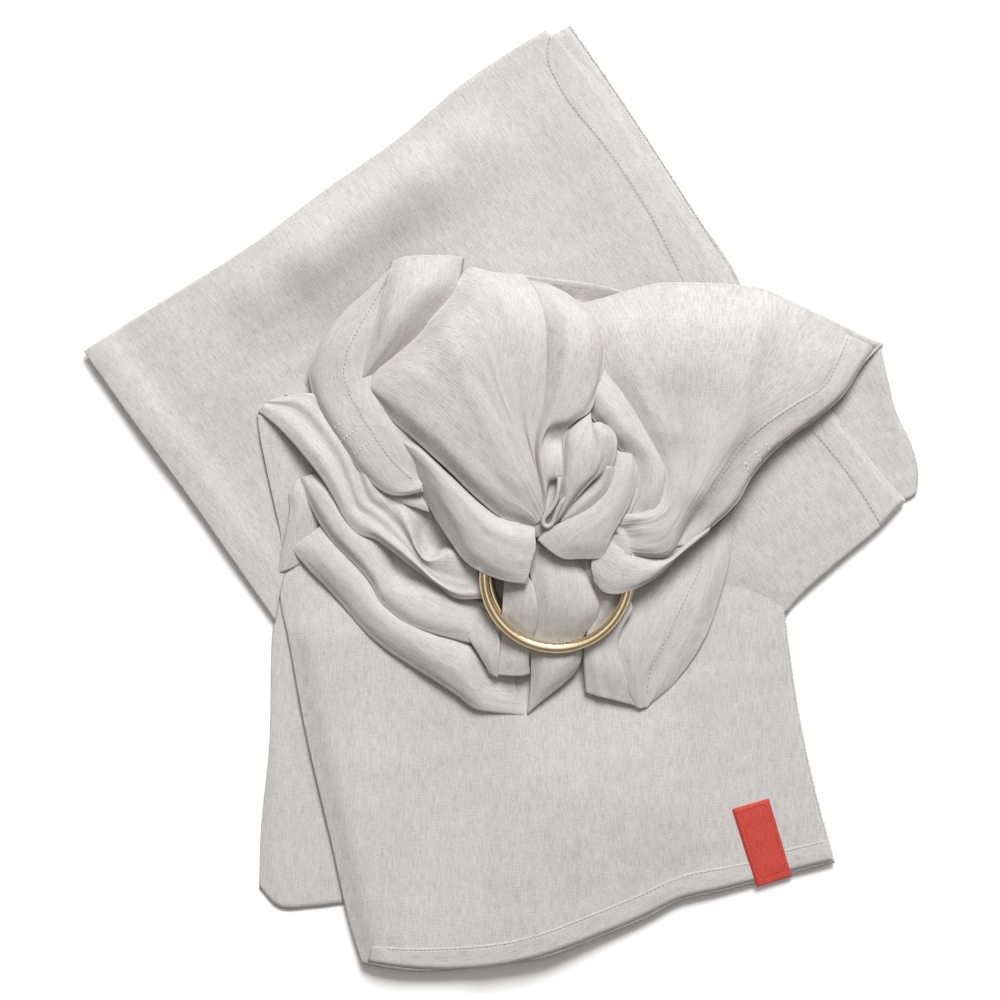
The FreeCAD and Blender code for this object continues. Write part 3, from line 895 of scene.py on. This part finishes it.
fold("shoulder_right", node=["shoulder_right_panel", "shoulder_hem_right"], body=TO_FRONT_RING,
     rolls=dict(start=1.4, last=0.7, end=0.9, first=0.8), creases=0.1,
     crests=[
         (flat(150,108, 138,74, 133.7,42, 126,25, 115,6), 4.0, 8, 14),
         (flat(104,118, 100,90, 96,66, 97,42), 2.6, 11, 12),
     ], rails=[
    [44,112,12, 50,92,24, 54,76,28, 62,62,28.6, 71,48,28.8, 79,37,28.6, 84.4,27,28, 86.4,12,27.6, 87.4,4,28,
     87,-1.4,28.8, 83,-5,29.2, 77,-6.6,29, 69.6,-7.4,28, 63,-10,26],
    [56,115,14, 65,97,30, 71,77,34.6, 79,60,34, 86.4,46,32.4, 91.4,33,30.6, 94.4,22,29.6, 95.4,8,29,
     94.6,0,29.6, 90,-5.6,30.4, 84,-8.6,30.8, 76,-10,30.2, 67,-12,27.4],
    [89,124,14, 94,100,30, 97,78,33, 100,58,30, 103,42,28, 104,26,27.5, 102,10,28.2, 97,-4,29.4,
     88,-13,30.6, 79,-15,29.8, 69,-15.6,25.6, 60,-14.4,25],
    [120,124,12, 120,100,27, 118,78,30, 116,58,29.5, 115,42,29.5, 112,26,29.5, 106,8,29, 99,-8,29.5,
     90,-18.6,30.2, 80,-20.4,29, 69,-20,25, 60,-18.6,24.6],
    [150,121,10, 145,98,22, 138,76,27, 131,55,28.5, 125,38,28.8, 118,22,28.8, 109,4,28.5, 100,-12,28.5,
     91,-24,28.8, 80,-26,28.4, 70,-24.6,25.6, 61,-21.6,24.6],
    [184,105,9, 173,87,16, 160,70,21, 146,54,25, 133,38,26.5, 122,22,27, 111.5,4,27, 102,-12,27,
     93,-27.6,27.2, 81,-29,27, 71,-27.4,25.4, 63,-24,24.4],
    [210,93,6.5, 192,82,13, 180,66,17, 161,51,20, 146,41,22.5, 131,28,24, 122.5,15,24.8, 112.5,0,24.8,
     103.5,-13,24.8, 94,-30,25.2, 82,-31,25, 72,-29.4,24, 65,-26,23.6],
    [213,92,5.5, 193.5,80.5,11.5, 181.5,64,15.5, 162,49.3,18.5, 147,38.5,20.5, 132.5,25.5,21.8, 124,13,22,
     114,-2,21.5, 104.5,-15,21, 96,-30.5,22, 83,-32,22, 74,-30.6,21.4],
    [215,91,5.5, 200,80,11, 187,61,14.8, 170,44.5,17.5, 156,34,19.5, 142,22,21, 131,7,21.4, 119,-9,21,
     107,-20.5,21, 97,-31,21, 84,-33,21, 75,-31.7,20.5],
    [217,90,4.5, 207,80,8.5, 195,62,11.5, 178,47,14, 165,38,16, 153,28,18, 142,15,19.5, 134,1,20,
     120,-13,20, 105,-25,20.5, 98,-31.6,20.5, 85,-34,20, 76,-32.7,19.5],
])
fold("shoulder_behind", rolls=dict(first=0.9), rails=[
    [-5,131,9, 14,129,10, 29,127,10.5, 46,125,10.5, 61,122,10.5, 76,118,10],
    [-5,126,8, 14,122,7.5, 29,118,7, 46,115,7, 61,115,7.5, 76,114,8],
    [-5,118,6, 14,112,6, 29,106,6, 46,100,6, 61,104,6, 76,108,6],
])
fold("right_pleat", node=["shoulder_right_pleat"], body=TO_FRONT_RING, rolls=dict(first=0.9, last=0.9),
     creases=0.15, rails=[
    [45,62,27, 49,56,29, 51.6,47,30.6, 57,42.4,30.8, 63.6,34,30.4, 68.4,28,29, 72,20,28, 72.6,10,28,
     70,1,27.6, 64,-9,26],
    [46,66,28, 51,58.4,33, 55,51,34.6, 60.4,45,34.8, 66.6,37.4,34.4, 72.4,30.6,32.2, 76.6,22,29.6,
     77.6,12,28.4, 75.6,3,27.4, 71,-8,26],
    [48,71,29, 53.4,61.4,34.6, 58.4,55,36.2, 65,47.6,36.4, 72,39.6,35.8, 78.4,32,34, 82.6,23.4,32,
     83.6,12,31.6, 82,3,30.8, 78.6,-7,27.6],
    [51,76,29, 56.6,66,33.4, 62.4,59,34.2, 69.4,50.6,34.2, 76,42.6,33.2, 81.4,34.8,32, 86.4,25,31.4,
     88,13,31.6, 87,3.6,31, 84.6,-6.4,28.8],
    [55,81,28, 61,71,30, 67.4,63,30.8, 74,54,30.6, 80,45,30, 85.2,36.8,29.4, 89.4,26,29, 91,13,30,
     89.6,3.4,29.6, 86.4,-6.6,28.2],
])
fold("tongue", node=["shoulder_tongue_fold"], body=TO_FRONT_RING,
     rolls=dict(first=0.9, last=1.2, start=1.0), creases=0.12, rails=[
    [48.4,51,33, 40,43.6,33, 35.6,37.6,33, 34.8,31.8,34, 34.4,17,34.5, 33.6,11,34, 33.4,5.5,33,
     32.4,-0.6,32, 31,-6.5,31, 29.4,-11,29],
    [49,50,35.5, 42,43.6,37, 37.6,37,38, 37,30,38.6, 36.6,17,38.6, 35.6,9,37.4, 35.2,3,36, 34,-3,34.4,
     32,-8,32.4, 30,-12,29.6],
    [50,47,36, 47,41.6,38.6, 44,36,39.8, 43.4,28,40.4, 42.4,16,39.8, 40,8,38.4, 37.6,2,36.8, 35,-4,34.6,
     32.4,-8.6,32.6, 30.4,-12.2,30],
    [50.4,45.6,36, 50.4,38.6,37.6, 50,30,40.4, 49.4,20,40, 47,12.6,38.8, 42.4,6,37.2, 38.8,0.6,35.6,
     35.2,-5.2,33.8, 32.6,-9.6,31.4, 30.8,-12.4,29.4],
    [51,44,37.4, 52.8,38.6,40.2, 53.4,30,40.8, 53,21,40, 51.6,15.4,38.4, 46.6,9.4,35.6, 41.4,3,33.8,
     36.8,-3,32.2, 33.4,-8,30.6, 31.2,-12,28.4],
    [56.3,44.2,36.5, 58.8,38,39.6, 59.2,30,39.8, 58,21.6,38.8, 56,16.4,36.8, 53,13.6,33],
    [61.4,41.6,33.6, 63.8,36.4,35.2, 63.6,29,35.6, 61.6,20.6,35, 59.6,15.4,34, 57.4,12,32.4],
])
fold("tongue_lip", body=TO_FRONT_RING, rolls=dict(last=1.3, first=0.8), rails=[
    [54.4,18,35, 53.6,13.6,32, 49.6,9,31, 45,4.4,30.6, 40.2,-1,30.6, 36.4,-5.8,30, 33,-10,28.6],
    [58.4,20,38, 57.2,13,36.6, 54.2,8,35.6, 49,3.6,34.8, 43.2,-1.6,34, 37.8,-6.4,32.8, 32.8,-11,30.2],
    [61.2,20.6,36, 59.4,12.6,35.2, 56.6,7,34.4, 51.4,1.6,33.6, 45.2,-3.4,33, 39.2,-8,32, 33.4,-12,29.4],
    [62.4,20,34, 60.6,12,33.6, 57.8,6,33, 52.4,0.4,32.4, 46,-4.6,31.8, 39.8,-9,30.8, 34,-12.8,28.6],
])
fold("centre_wrap", node=["wrap_centre"], body=TO_FRONT_RING, rolls=dict(start=1.0, last=0.8, end=0.7),
     creases=0.15, rails=[
    [20.6,-20.6,28.4, 25,-16,29.4, 31,-12.6,30.4, 39,-8.4,31, 47,-3.4,31.4, 54,2,31.6, 59,9,31.6,
     61.6,18,31.4, 62.6,29,29.6],
    [25.1,-25.2,29, 31,-19,31, 39,-13.4,32.2, 48,-7,32.8, 56,0.4,33, 61,8.4,33, 64,17.6,32.8, 65.4,28,31],
    [30.2,-29,29, 37,-22.4,31.8, 45,-15.4,33, 53.4,-7.6,33.6, 60.4,0.6,33.8, 65,9,33.8, 67.6,18,33.6,
     69,27.4,31.6],
    [35.2,-32,28.8, 41,-25,31.8, 49,-17,33.2, 57,-8.6,33.8, 64,0.6,33.8, 68.4,9.4,33.8, 71,18,33.6,
     71.8,27,31.4],
    [45.2,-31.4,28.8, 49,-25.4,31.4, 55,-17.4,32.8, 61.4,-9,33.2, 67.4,0.4,33.2, 71.4,9,33.2, 73.2,17.8,33,
     73.6,26.6,30.8],
    [53.3,-31.6,28.2, 56.4,-25,30.4, 60,-17.6,31.4, 65.2,-9,31.8, 70.4,0.6,31.8, 73.6,9.4,31.8,
     74.7,17.8,31.6, 74.6,26.4,30],
    [56.4,-31.4,27.4, 59,-25.4,29, 62.4,-17.6,30, 67.4,-9,30.2, 71.8,-0.6,30.2, 74.6,8.4,30.2,
     75.6,17.6,30.2, 75.6,26.2,29],
])
fold("rosette_under", body=TO_FRONT_RING, rails=[
    [-8,40,22, 2,12,28.8, 10,-6,28.8, 18,-20,25],
    [24,50,27, 27,20,28.8, 31,-4,28.6, 36,-22,25],
    [50,58,29, 52,25,28.8, 51,0,28.6, 52,-22,25],
    [84,48,27, 82,24,28, 76,0,28, 66,-18,24.5],
])
fold("right_wrap", node=["wrap_right"], body=TO_FRONT_RING, rolls=dict(last=0.8, end=0.8), creases=0.3,
     rails=[
    [118,-14,20, 106,-22,21, 95,-31,22, 86,-32.6,23.6, 78,-31.2,25, 71,-28.8,25.8, 66,-25,26.4,
     62,-21,26.4],
    [118,-15.6,20.4, 105,-26,22.4, 94.5,-34,25, 85,-37,27, 76,-36,28.4, 68,-33.4,28.8, 62,-29,28.4,
     56.6,-25.6,27],
    [117.8,-16.6,19.6, 103,-28.4,22, 93.6,-35.4,25, 84,-41.4,27.4, 75,-43,28.4, 66,-41.4,28.8,
     58.4,-37.4,28.4, 51.6,-31.6,26.4],
    [117.5,-17.2,19, 101.6,-29.6,20.6, 93,-37,23.6, 82.4,-44.6,26, 73,-48,27.2, 64,-48.6,27.8,
     56.4,-44.8,27.4, 50.6,-38.6,26],
    [117,-17.6,18.4, 100,-31,19.6, 92,-38.4,22, 80.4,-46.2,24.6, 71.6,-50,26, 64,-51.6,26.6,
     57.6,-50.4,26.4, 52.6,-45,25.4],
])
fold("left_wrap", node=["wrap_left"], body=TO_FRONT_RING, rolls=dict(last=1.0, end=0.9), rails=[
    [-64,42,16, -48,33,19.5, -30,16,22, -12,0,24, 2,-10,26, 12,-12,26.6, 18,-14,26.6],
    [-62,37,18, -46,28,23, -28,10,27, -12,-7,30, 0,-15.5,31.8, 11,-18.5,31.6, 17.8,-18.5,30],
    [-58,33,18, -44,22,23.4, -28,2,27.4, -13,-14,30.6, 0,-22,32.2, 11,-26,31.8, 18.4,-26,30],
    [-54,28,17.5, -41,13,22.4, -28,-7,26.4, -14,-23,29.8, 0,-31,31.8, 10,-34,31.2, 15.8,-34,29.8],
    [-52,22,16.5, -38,2,20.8, -27,-14,24, -16.6,-28.4,27.6, -3,-37,30, 7,-40.5,30, 14.4,-41,29],
    [-50,14,13.5, -41,-3,15.5, -31,-19,18.5, -19,-34.5,22.6, -7,-41,26, 5,-44.5,27.8, 12.8,-45.4,27.8],
])
fold("pouch_upper", node=["pouch_fold_upper"], rolls=dict(first=1.2, start=0.8), creases=0.45, rails=[
    [-138,52,8, -129,45,11.4, -120,36,14, -109,23,15.8, -102,14,16.2, -95,2,16, -87.5,-12,15,
     -82,-17.5,13.6, -73,-20,13.6, -64,-26,14, -50,-37,14.8, -36,-47.5,15.2, -27,-53.5,15.4, -10,-54,15],
    [-136,55,9, -124,48.6,13.4, -110.6,35,17.6, -101,23,19, -93,8,19, -86,-6,17.2, -79,-12.6,16.4,
     -71,-17.6,16.6, -61,-25,17.2, -50,-34.5,17.8, -37,-46,18, -27,-51.5,17.6, -10,-51.5,16.5],
    [-135,56.6,7, -119,53,10.4, -105.6,39,13, -96.4,27,14.4, -88.6,10,14.4, -82,-4.6,14, -75,-9,13.6,
     -67,-15.4,13.6, -58,-23,14, -49.4,-32,15, -38.6,-43,16, -27,-48,16.4, -11,-48.6,15.8],
    [-133.6,57.8,8, -116,57,12.4, -101.6,43.6,15.4, -92,30.6,17, -84.4,12,16.8, -78.6,-2,15.6,
     -72,-5.6,14.6, -64,-13,14, -56,-21.4,14.2, -49,-30.4,15.2, -40,-39.6,16, -27,-45,16.4, -12,-46,15.5],
    [-131,59,7, -113,60,10, -98,45.6,11.6, -87.6,30,12.4, -80.6,11,12.4, -75.6,0,12.4, -69.4,-4.6,12,
     -61.6,-12,12.2, -54.6,-20,13.4, -48.6,-29,15.2, -41.4,-37,16.2, -30,-41,16.4, -13,-43,16],
    [-129,60,6.6, -110,61.4,10.4, -93,46,13.6, -82,28,15.6, -76.4,10,16, -72,1.6,15, -66,-2.6,14,
     -59,-10.6,14, -53.6,-19,15, -48.4,-28.4,16.4, -42.4,-35.6,17.2, -33,-37,17.4, -14,-41,16],
    [-127,60.5,6, -108,62,9, -90,46,11, -79,28,11.5, -72,12,12, -66,4,13, -60,-1,13.6, -55.5,-10,16.4,
     -51.5,-19,17.2, -48,-28,18, -43,-33.4,18.6, -36.5,-31.6,18.4, -30,-28.6,17.6, -14,-36,16],
    [-123,61,5, -105,62,7, -86,46,9, -76,30,13, -67,14,13, -58.6,3,12, -52,-2,11, -48.5,-10,10, -46,-18,6.5,
     -43.6,-25,6, -40.6,-28,6, -36,-26.4,6, -30,-22,6.5, -22,-22,8, -12,-30,11],
    [-119,61,4.5, -100,62,6, -80,46,8, -66,30,12, -56,18,11, -49,9,10.6, -44,1,9, -41,-6,7, -38,-12,5.6,
     -36,-16,5.6, -33,-18,5.6, -29,-17,6, -24,-14,7, -16,-16,9, -8,-22,10],
    [-112,62,4.5, -94,62,6, -72,48,8, -56,32,10, -46,20,12, -38,12,13, -33,6,12, -30,2,10, -27,0,8,
     -24,-2,8, -20,-2,8, -16,-2,8, -10,-4,9],
])
fold("pouch_middle", node=["pouch_fold_middle"], rolls=dict(first=1.2, start=0.8), creases=0.4, rails=[
    [-115.8,12.5,8, -110.4,1,9.4, -104.6,-10,10.2, -98,-20,10.6, -89,-29.6,11, -79.6,-39.4,11.2,
     -73.6,-47.6,11.2, -70.6,-54.6,11.2, -63,-62,11.6, -52.6,-69.4,12, -40.6,-73.6,12, -29,-76.8,12,
     -19,-79.4,11.4, -8,-82,8],
    [-114,13.6,9.6, -108,2.4,12.8, -102,-8,14.2, -95.4,-17.8,14.8, -86.6,-27.4,14.8, -77.4,-37.2,14.4,
     -71.6,-45,14, -68,-51.6,14, -60.6,-58.6,14.2, -50.8,-65.4,14.4, -39.6,-69.8,14.2, -28,-73,13.6,
     -18,-75.6,12.4, -8,-78,8],
    [-110,15,10, -103,5,14.4, -96,-5.6,15.6, -88.6,-16,15.6, -80,-25.6,14.8, -72.4,-35,13.6, -67,-42.4,12.8,
     -62,-47.6,12.6, -54,-53,13.4, -45,-57.8,14, -35,-61.8,13.8, -25,-66,13.2, -16,-70,11.6, -8,-73,8],
    [-106,16,9, -98,7,12.6, -90,-5,13, -81.5,-15.5,12.4, -73,-24,10.6, -66,-33,7.6, -60.5,-39,4.6,
     -52,-44,5.4, -43.5,-49,10, -32,-55,11.8, -22,-59.5,11.2, -14.5,-62.5,9.6, -7,-66,8],
    [-102,17,7.4, -93,8,9.4, -84,-5,9.8, -76,-14,9, -68,-20,7.6, -60,-28,5.2, -55,-34,4.2, -47,-39,4.4,
     -38.5,-43.5,7, -27,-50,8.4, -18,-54,8.6, -12,-57,8, -6,-60,7],
])
fold("pouch_end", rolls=dict(first=0.6, last=0.9, end=0.8), rails=[
    [-25.5,-57,8, -22,-66,10.8, -18.6,-77.6,12.6, -13,-87,12, -7,-97.4,10.5],
    [-17,-59,9, -13,-70,12.6, -10.4,-80,14, -8,-89,13.4, -5,-98.6,11],
    [-10,-62,10, -5,-70,13.4, -2,-79,14.6, -2.4,-89,13.8, -3.4,-99.2,11],
])
fold("pouch_lower", node=["pouch_fold_lower"], rolls=dict(first=1.5, start=1.0), creases=0.3, rails=[
    [-119.4,-26.7,7.6, -110,-37.6,8, -99.2,-48.5,8.2, -88.3,-61,8.4, -77.4,-73.5,8.6, -66.5,-82.8,8.6,
     -52.4,-92.1,8.6, -35.3,-103,8.6, -26,-109.3,8.6, -15,-117.4,8, -6,-119.2,6, 4,-120.4,5.2,
     13,-121.5,4.8],
    [-117.4,-25,8.6, -108,-35.4,10.4, -97.4,-46.4,10.8, -86.6,-58.6,11, -76,-70.8,11.2, -65.2,-80,11.4,
     -51.6,-89,11.4, -35,-99.8,11.4, -25.6,-105.8,11.2, -15.6,-113.6,10, -7,-115.6,7, 2,-117,5.8,
     12,-118,5],
    [-112,-20.6,9, -103,-30.6,12.6, -92.6,-42.4,13.4, -83,-52.6,13.6, -72.4,-64.4,13.8, -60,-74.4,13.8,
     -46.6,-83,13.8, -32.6,-92,13.8, -23.6,-98.6,13.4, -16,-106,11.6, -10,-109.4,7.6, -2,-112,5.6,
     9,-113.8,5],
    [-104.4,-15,8.4, -99,-24.4,11.8, -91.4,-33.8,12.6, -82,-43.4,12.8, -76,-51.6,12.8, -71.6,-57.6,12.8,
     -63,-65.6,12.8, -50,-73.4,12.8, -38,-79,12.8, -27,-83.4,12.6, -18,-92,12, -11.6,-97.4,8, -4,-101.4,5.4,
     8,-104,4.8],
    [-101.6,-13.6,7, -96,-21.6,8, -87,-31,8.4, -78,-40,8, -72,-48,7.4, -69,-54,7, -61,-61,7, -48,-68,7.6,
     -36,-73,8, -24,-77,8.6, -15,-84,8, -9,-90,6.6, -2,-95,5.4, 8,-98,4.8],
])
fold("pouch_left_sheet", rolls=dict(first=0.6), rails=[
    [-119.5,12,6, -121.4,6,8, -121,-4,8.6, -123.4,-18,8, -126,-30,6.5, -128.6,-41,4.5],
    [-118,13,8, -118.6,6,10.4, -118,-4,10.6, -120,-17,9.6, -122.6,-29,7.8, -125,-40,5.6],
    [-115,13.5,8, -113.6,5,9.4, -112.6,-5,9, -114.4,-17,7.6, -117.4,-28,6, -119.8,-38,4.6],
    [-112,12,7, -108,2,6.6, -105,-8,6, -106,-18,5, -110,-26,4.6, -114,-34,4.2],
])
fold("pouch_back_sheet", rolls=dict(first=0.5), rails=[
    [-140,50,6.4, -138,36,6.8, -135,21,6.8, -130,-2,6.4, -126.4,-20,5.0, -126.8,-34,2.4],
    [-128,50,6.2, -124,30,6.6, -120,10,6.6, -117,-8,6.2, -117,-22,4.2, -119,-34,2.4],
    [-112,50,5, -108,30,5, -104,10,5, -100,-10,4.6, -102,-24,3.6, -106,-34,2.4],
])
fold("back_hem", node=["back_hem_fold"], rolls=dict(first=0.9, last=0.7, end=0.9), rails=[
    [66,-50,10, 64,-64,11, 65,-74,12, 67,-86,12.6, 70,-98,12.2, 73,-108,11, 77,-117,8.5],
    [80,-44,8, 76,-60,11.6, 74,-74,13.6, 74,-86,14.4, 75,-98,13.4, 77,-108,11, 79,-117.5,8.5],
    [97,-32,6.6, 91,-50,9, 86,-65,11.4, 82,-80,12, 80,-92,11.4, 80,-106,9.5, 80.5,-117.5,7.5],
    [117,-16,7, 113.5,-38,9.4, 105.5,-54,11.4, 98,-70,12, 90,-86,11.5, 84,-98,10, 82,-117,7.5],
    [118.5,-16,7, 115,-38,9.2, 107,-55,11.2, 99.5,-71,11.4, 91.5,-87,10.6, 86,-99,9, 83,-117,7],
    [126,-10,8, 122,-38,10.5, 115,-58,11, 107,-76,10.6, 98,-92,9.6, 91,-106,8, 84.5,-116,6.5],
    [133,-3,6.4, 129,-37,6.6, 124,-55,6.6, 115,-79,6.6, 105,-95,6.4, 95,-107,6, 86,-115,5.8],
])
fold("ring_cloth_right", node=["ring_pleat_right"], body=TO_REAR_RING, rolls=dict(end=1.2), rails=[
    [40,-20,17.5, 43,-36,18, 50,-48,18.5, 54,-58,17.5, 50,-70,15, 47,-80,13, 46.5,-90,11.5, 47.5,-108,8.5],
    [48,-20,19.5, 50,-36,20.5, 57,-50,21.4, 60,-60,20, 56,-71,17, 53,-80,14, 52,-92,13.5, 54,-110,9.8],
    [56,-20,19, 57,-38,20, 64,-52,21, 66,-62,19, 62,-72,16.5, 59,-81,14, 60,-94,13.8, 64,-112.5,9.8],
    [66,-22,17, 66,-42,18, 72,-53,18.5, 74,-60,17.5, 69,-71,15.5, 66,-81,13.5, 69,-95,13, 77,-116,8.5],
])
fold("ring_cloth_centre", node=["ring_pleat_centre", "tail_bight"], body=TO_REAR_RING,
     rolls=dict(last=1.1, end=0.9, first=0.8), rails=[
    [15,-14,18, 15.4,-30,18.5, 17,-45,19.4, 18,-60,18.4, 17,-72,15, 17,-80,12.5, 17,-88,12, 17,-105,9,
     15.3,-120,7],
    [22,-12,20, 24,-30,21.5, 26,-46,23.4, 27,-62,21.8, 26,-73,17.5, 25,-80,14, 24,-90,15, 22,-105,12.5,
     18.5,-117,8],
    [33,-12,21, 33,-30,22, 36,-46,23.7, 38,-62,22, 36,-73,18, 35,-80,14, 34,-90,15.5, 31,-100,13.5,
     27,-110,9],
    [41,-14,21, 41,-31,21.5, 46,-47,23, 49,-61,21.5, 45,-72,17.5, 42,-79.5,14, 41,-89,15, 39,-96,13,
     36,-103,9.5],
    [44,-16,19.5, 43.5,-32,20, 49.5,-47,21, 54.5,-60,19.5, 51,-70,16, 45.8,-78,13, 45,-86,12.8,
     44.5,-91,12.2, 42,-97,10],
])
fold("ring_cloth_left", node=["ring_pleat_left"], body=TO_REAR_RING,
     rolls=dict(first=1.0, last=0.8, end=1.0), rails=[
    [4,-22,16, 3,-36,17.5, 2,-45,18, 1,-61,17, 0.5,-72,14.5, 0,-80,12.5, -1.5,-90,12, -3,-98,10.5],
    [8,-20,18, 7,-36,19.5, 7,-47,21, 7,-60,20, 7,-70,16.5, 7,-80,13.5, 6,-90,14, 5,-98.5,12],
    [13,-18,19, 12,-36,20.5, 13.5,-50,22.5, 14.5,-62,21, 13.5,-72,17, 12.5,-80,13.5, 12,-90,14,
     12,-98.5,12],
    [16,-18,19.5, 13.6,-40,21, 17.8,-50,22, 19.6,-62,21, 18.8,-72,17, 17,-79,13.5, 15,-88,13,
     14.5,-97.5,11],
])
fold("under_fold", rails=[
    [-118,40,4.6, -60,90,4.6, 20,118,4.6, 110,110,4.6],
    [-110,-10,4.6, -40,20,6.0, 30,30,6.0, 118,30,4.6],
    [-90,-50,4.8, -30,-60,4.8, 40,-66,4.8, 105,-50,4.8],
    [-40,-90,4.4, 0,-92,4.4, 40,-90,4.4, 72,-90,4.4],
])

left_hem, right_hem, back_hem = (
    surface_of(folds[name]) for name in ("shoulder_outer", "shoulder_right", "back_hem")
)
narrow_roll("hairpin_roll", HAIRPIN, HAIRPIN_HALF_WIDTH, TO_FRONT_RING)

for name, tree, body, inner, outer, line in (
    ("body_hem", body_top, "root",
     flat(27,268, 25,255, 31,240, 61,199, 81,169, 103,127, 112,108),
     flat(30,268, 42,256, 56.5,238, 77.5,209, 107,164, 133,123, 138,104),
     flat(27.6,267, 26,255, 32,240.4, 62,200, 82,170, 104,128)),
    ("side_hem", side_top, "root",
     flat(170,48, 178,39.4, 192,23, 205,5, 216.6,-13.6),
     flat(180,65, 187.6,53.2, 204,32.8, 218.4,14.4, 230.6,1.4),
     flat(171,48.6, 179,40, 193,23.6, 206,5.6, 217.4,-13)),
    ("tail_hem", tail_top, "tail",
     flat(185,-194, 160,-200, 146,-205, 100,-215, 80,-224, 50,-236, 16,-248, -45,-255, -75,-254),
     flat(189.5,-206, 160,-213.5, 125,-222.5, 100,-228.5, 84,-236.5, 55,-248.5, 20,-260.5, -45,-267.5,
          -77,-263.5),
     flat(184.6,-195.2, 160,-201.2, 146,-206.2, 100,-216.2, 80,-225.2, 50,-237.2, 16,-249.2, -45,-256.2,
          -75,-255.2)),
):
    hem = hem_band(f"{name}_layer", tree, inner, outer, body, name)
    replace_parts(stitches(f"{name}_stitches", hem, line, body), f"{name}_thread")
right_hem = hem_band(
    "right_hem_layer", right_hem,
    flat(197,96, 192,84, 183.4,68, 163.6,55, 138.9,36.4, 128.6,23, 119.6,10, 110,-4, 101.8,-21, 98,-26),
    flat(215.4,90.2, 207.2,79.6, 195,61.4, 178.8,46.6, 165.4,37.4, 153.4,27.6, 142.4,14.6, 134.4,1,
         120.6,-12.8, 105.4,-24.4),
    TO_FRONT_RING)
for name, tree, body, line in (
    ("left_hem_stitches", left_hem, "root",
     flat(-65,128, -74,112, -82,98, -88.6,84, -90,71, -86.4,60.6, -80.4,50, -74,39.6, -67,29, -60,20.6,
          -53,14.6, -48,10)),
    ("right_hem_stitches", right_hem, TO_FRONT_RING,
     flat(198,94.6, 193,83, 184.4,67, 164.4,53.8, 139.8,35.6, 129.6,22.4, 120.4,9.2, 110.8,-4.6,
          102.4,-21)),
    ("back_hem_stitches", back_hem, "root",
     flat(114.4,-30, 113.2,-38, 105.4,-54, 98,-70, 90,-86, 84.6,-98, 82.4,-112)),
):
    stitches(name, tree, line, body)

label_line = flat(134,-178.6, 138,-177, 143,-175.6, 148,-174, 151.6,-173, 153,-177, 156,-187, 159,-197,
                  162,-207, 162.6,-210.8, 159,-212, 152,-214, 148,-215.2, 146.6,-212, 144,-204, 140.6,-192,
                  137,-181)
label_top = surface_of(label(tail_top))
red_thread = thread_material("red_thread", (0.55, 0.05, 0.03), (0.35, 0.03, 0.02))
label_rows = stitches("label_stitches", label_top, label_line, "tail", red_thread, 2.4, 0.4)
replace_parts(label_rows, "label_thread")

bars = [
    stitches(f"seam_bar_{number}", tree, line, "root", BAR_THREAD, 1.8, 0.8)
    for number, (tree, line) in enumerate((
        (left_hem, flat(-99,40, -92,45)),
        (left_hem, flat(-93,34, -82,42)),
        (left_hem, flat(-85,27, -73,36)),
        (right_hem, flat(150,33.6, 152.6,28.4)),
        (right_hem, flat(144,29, 147.4,22.6)),
        (right_hem, flat(137.6,23, 140.8,16.6)),
    ))
]
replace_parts(bars[0], "shoulder_seam_bars")

for number, (name, z, body, line) in enumerate((
    ("body_top_fray", 3.0, "root", BODY_TOP),
    ("body_side_fray", 1.5, "root", BODY_SIDE[:-1]),
    ("side_fray", 2.2, "root", SIDE_EDGE[:-1]),
    ("tail_side_fray", 3.4, "tail", TAIL_SIDE[2:]),
    ("shoulder_top_fray", 8.0, "root", flat(150,121, 170,110, 185,104, 200,96, 217,90)),
)):
    fray(name, line, z, body, 40 + number)

for name in ("front_ring", "rear_ring"):
    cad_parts[name].material_slots[0].material = GOLD
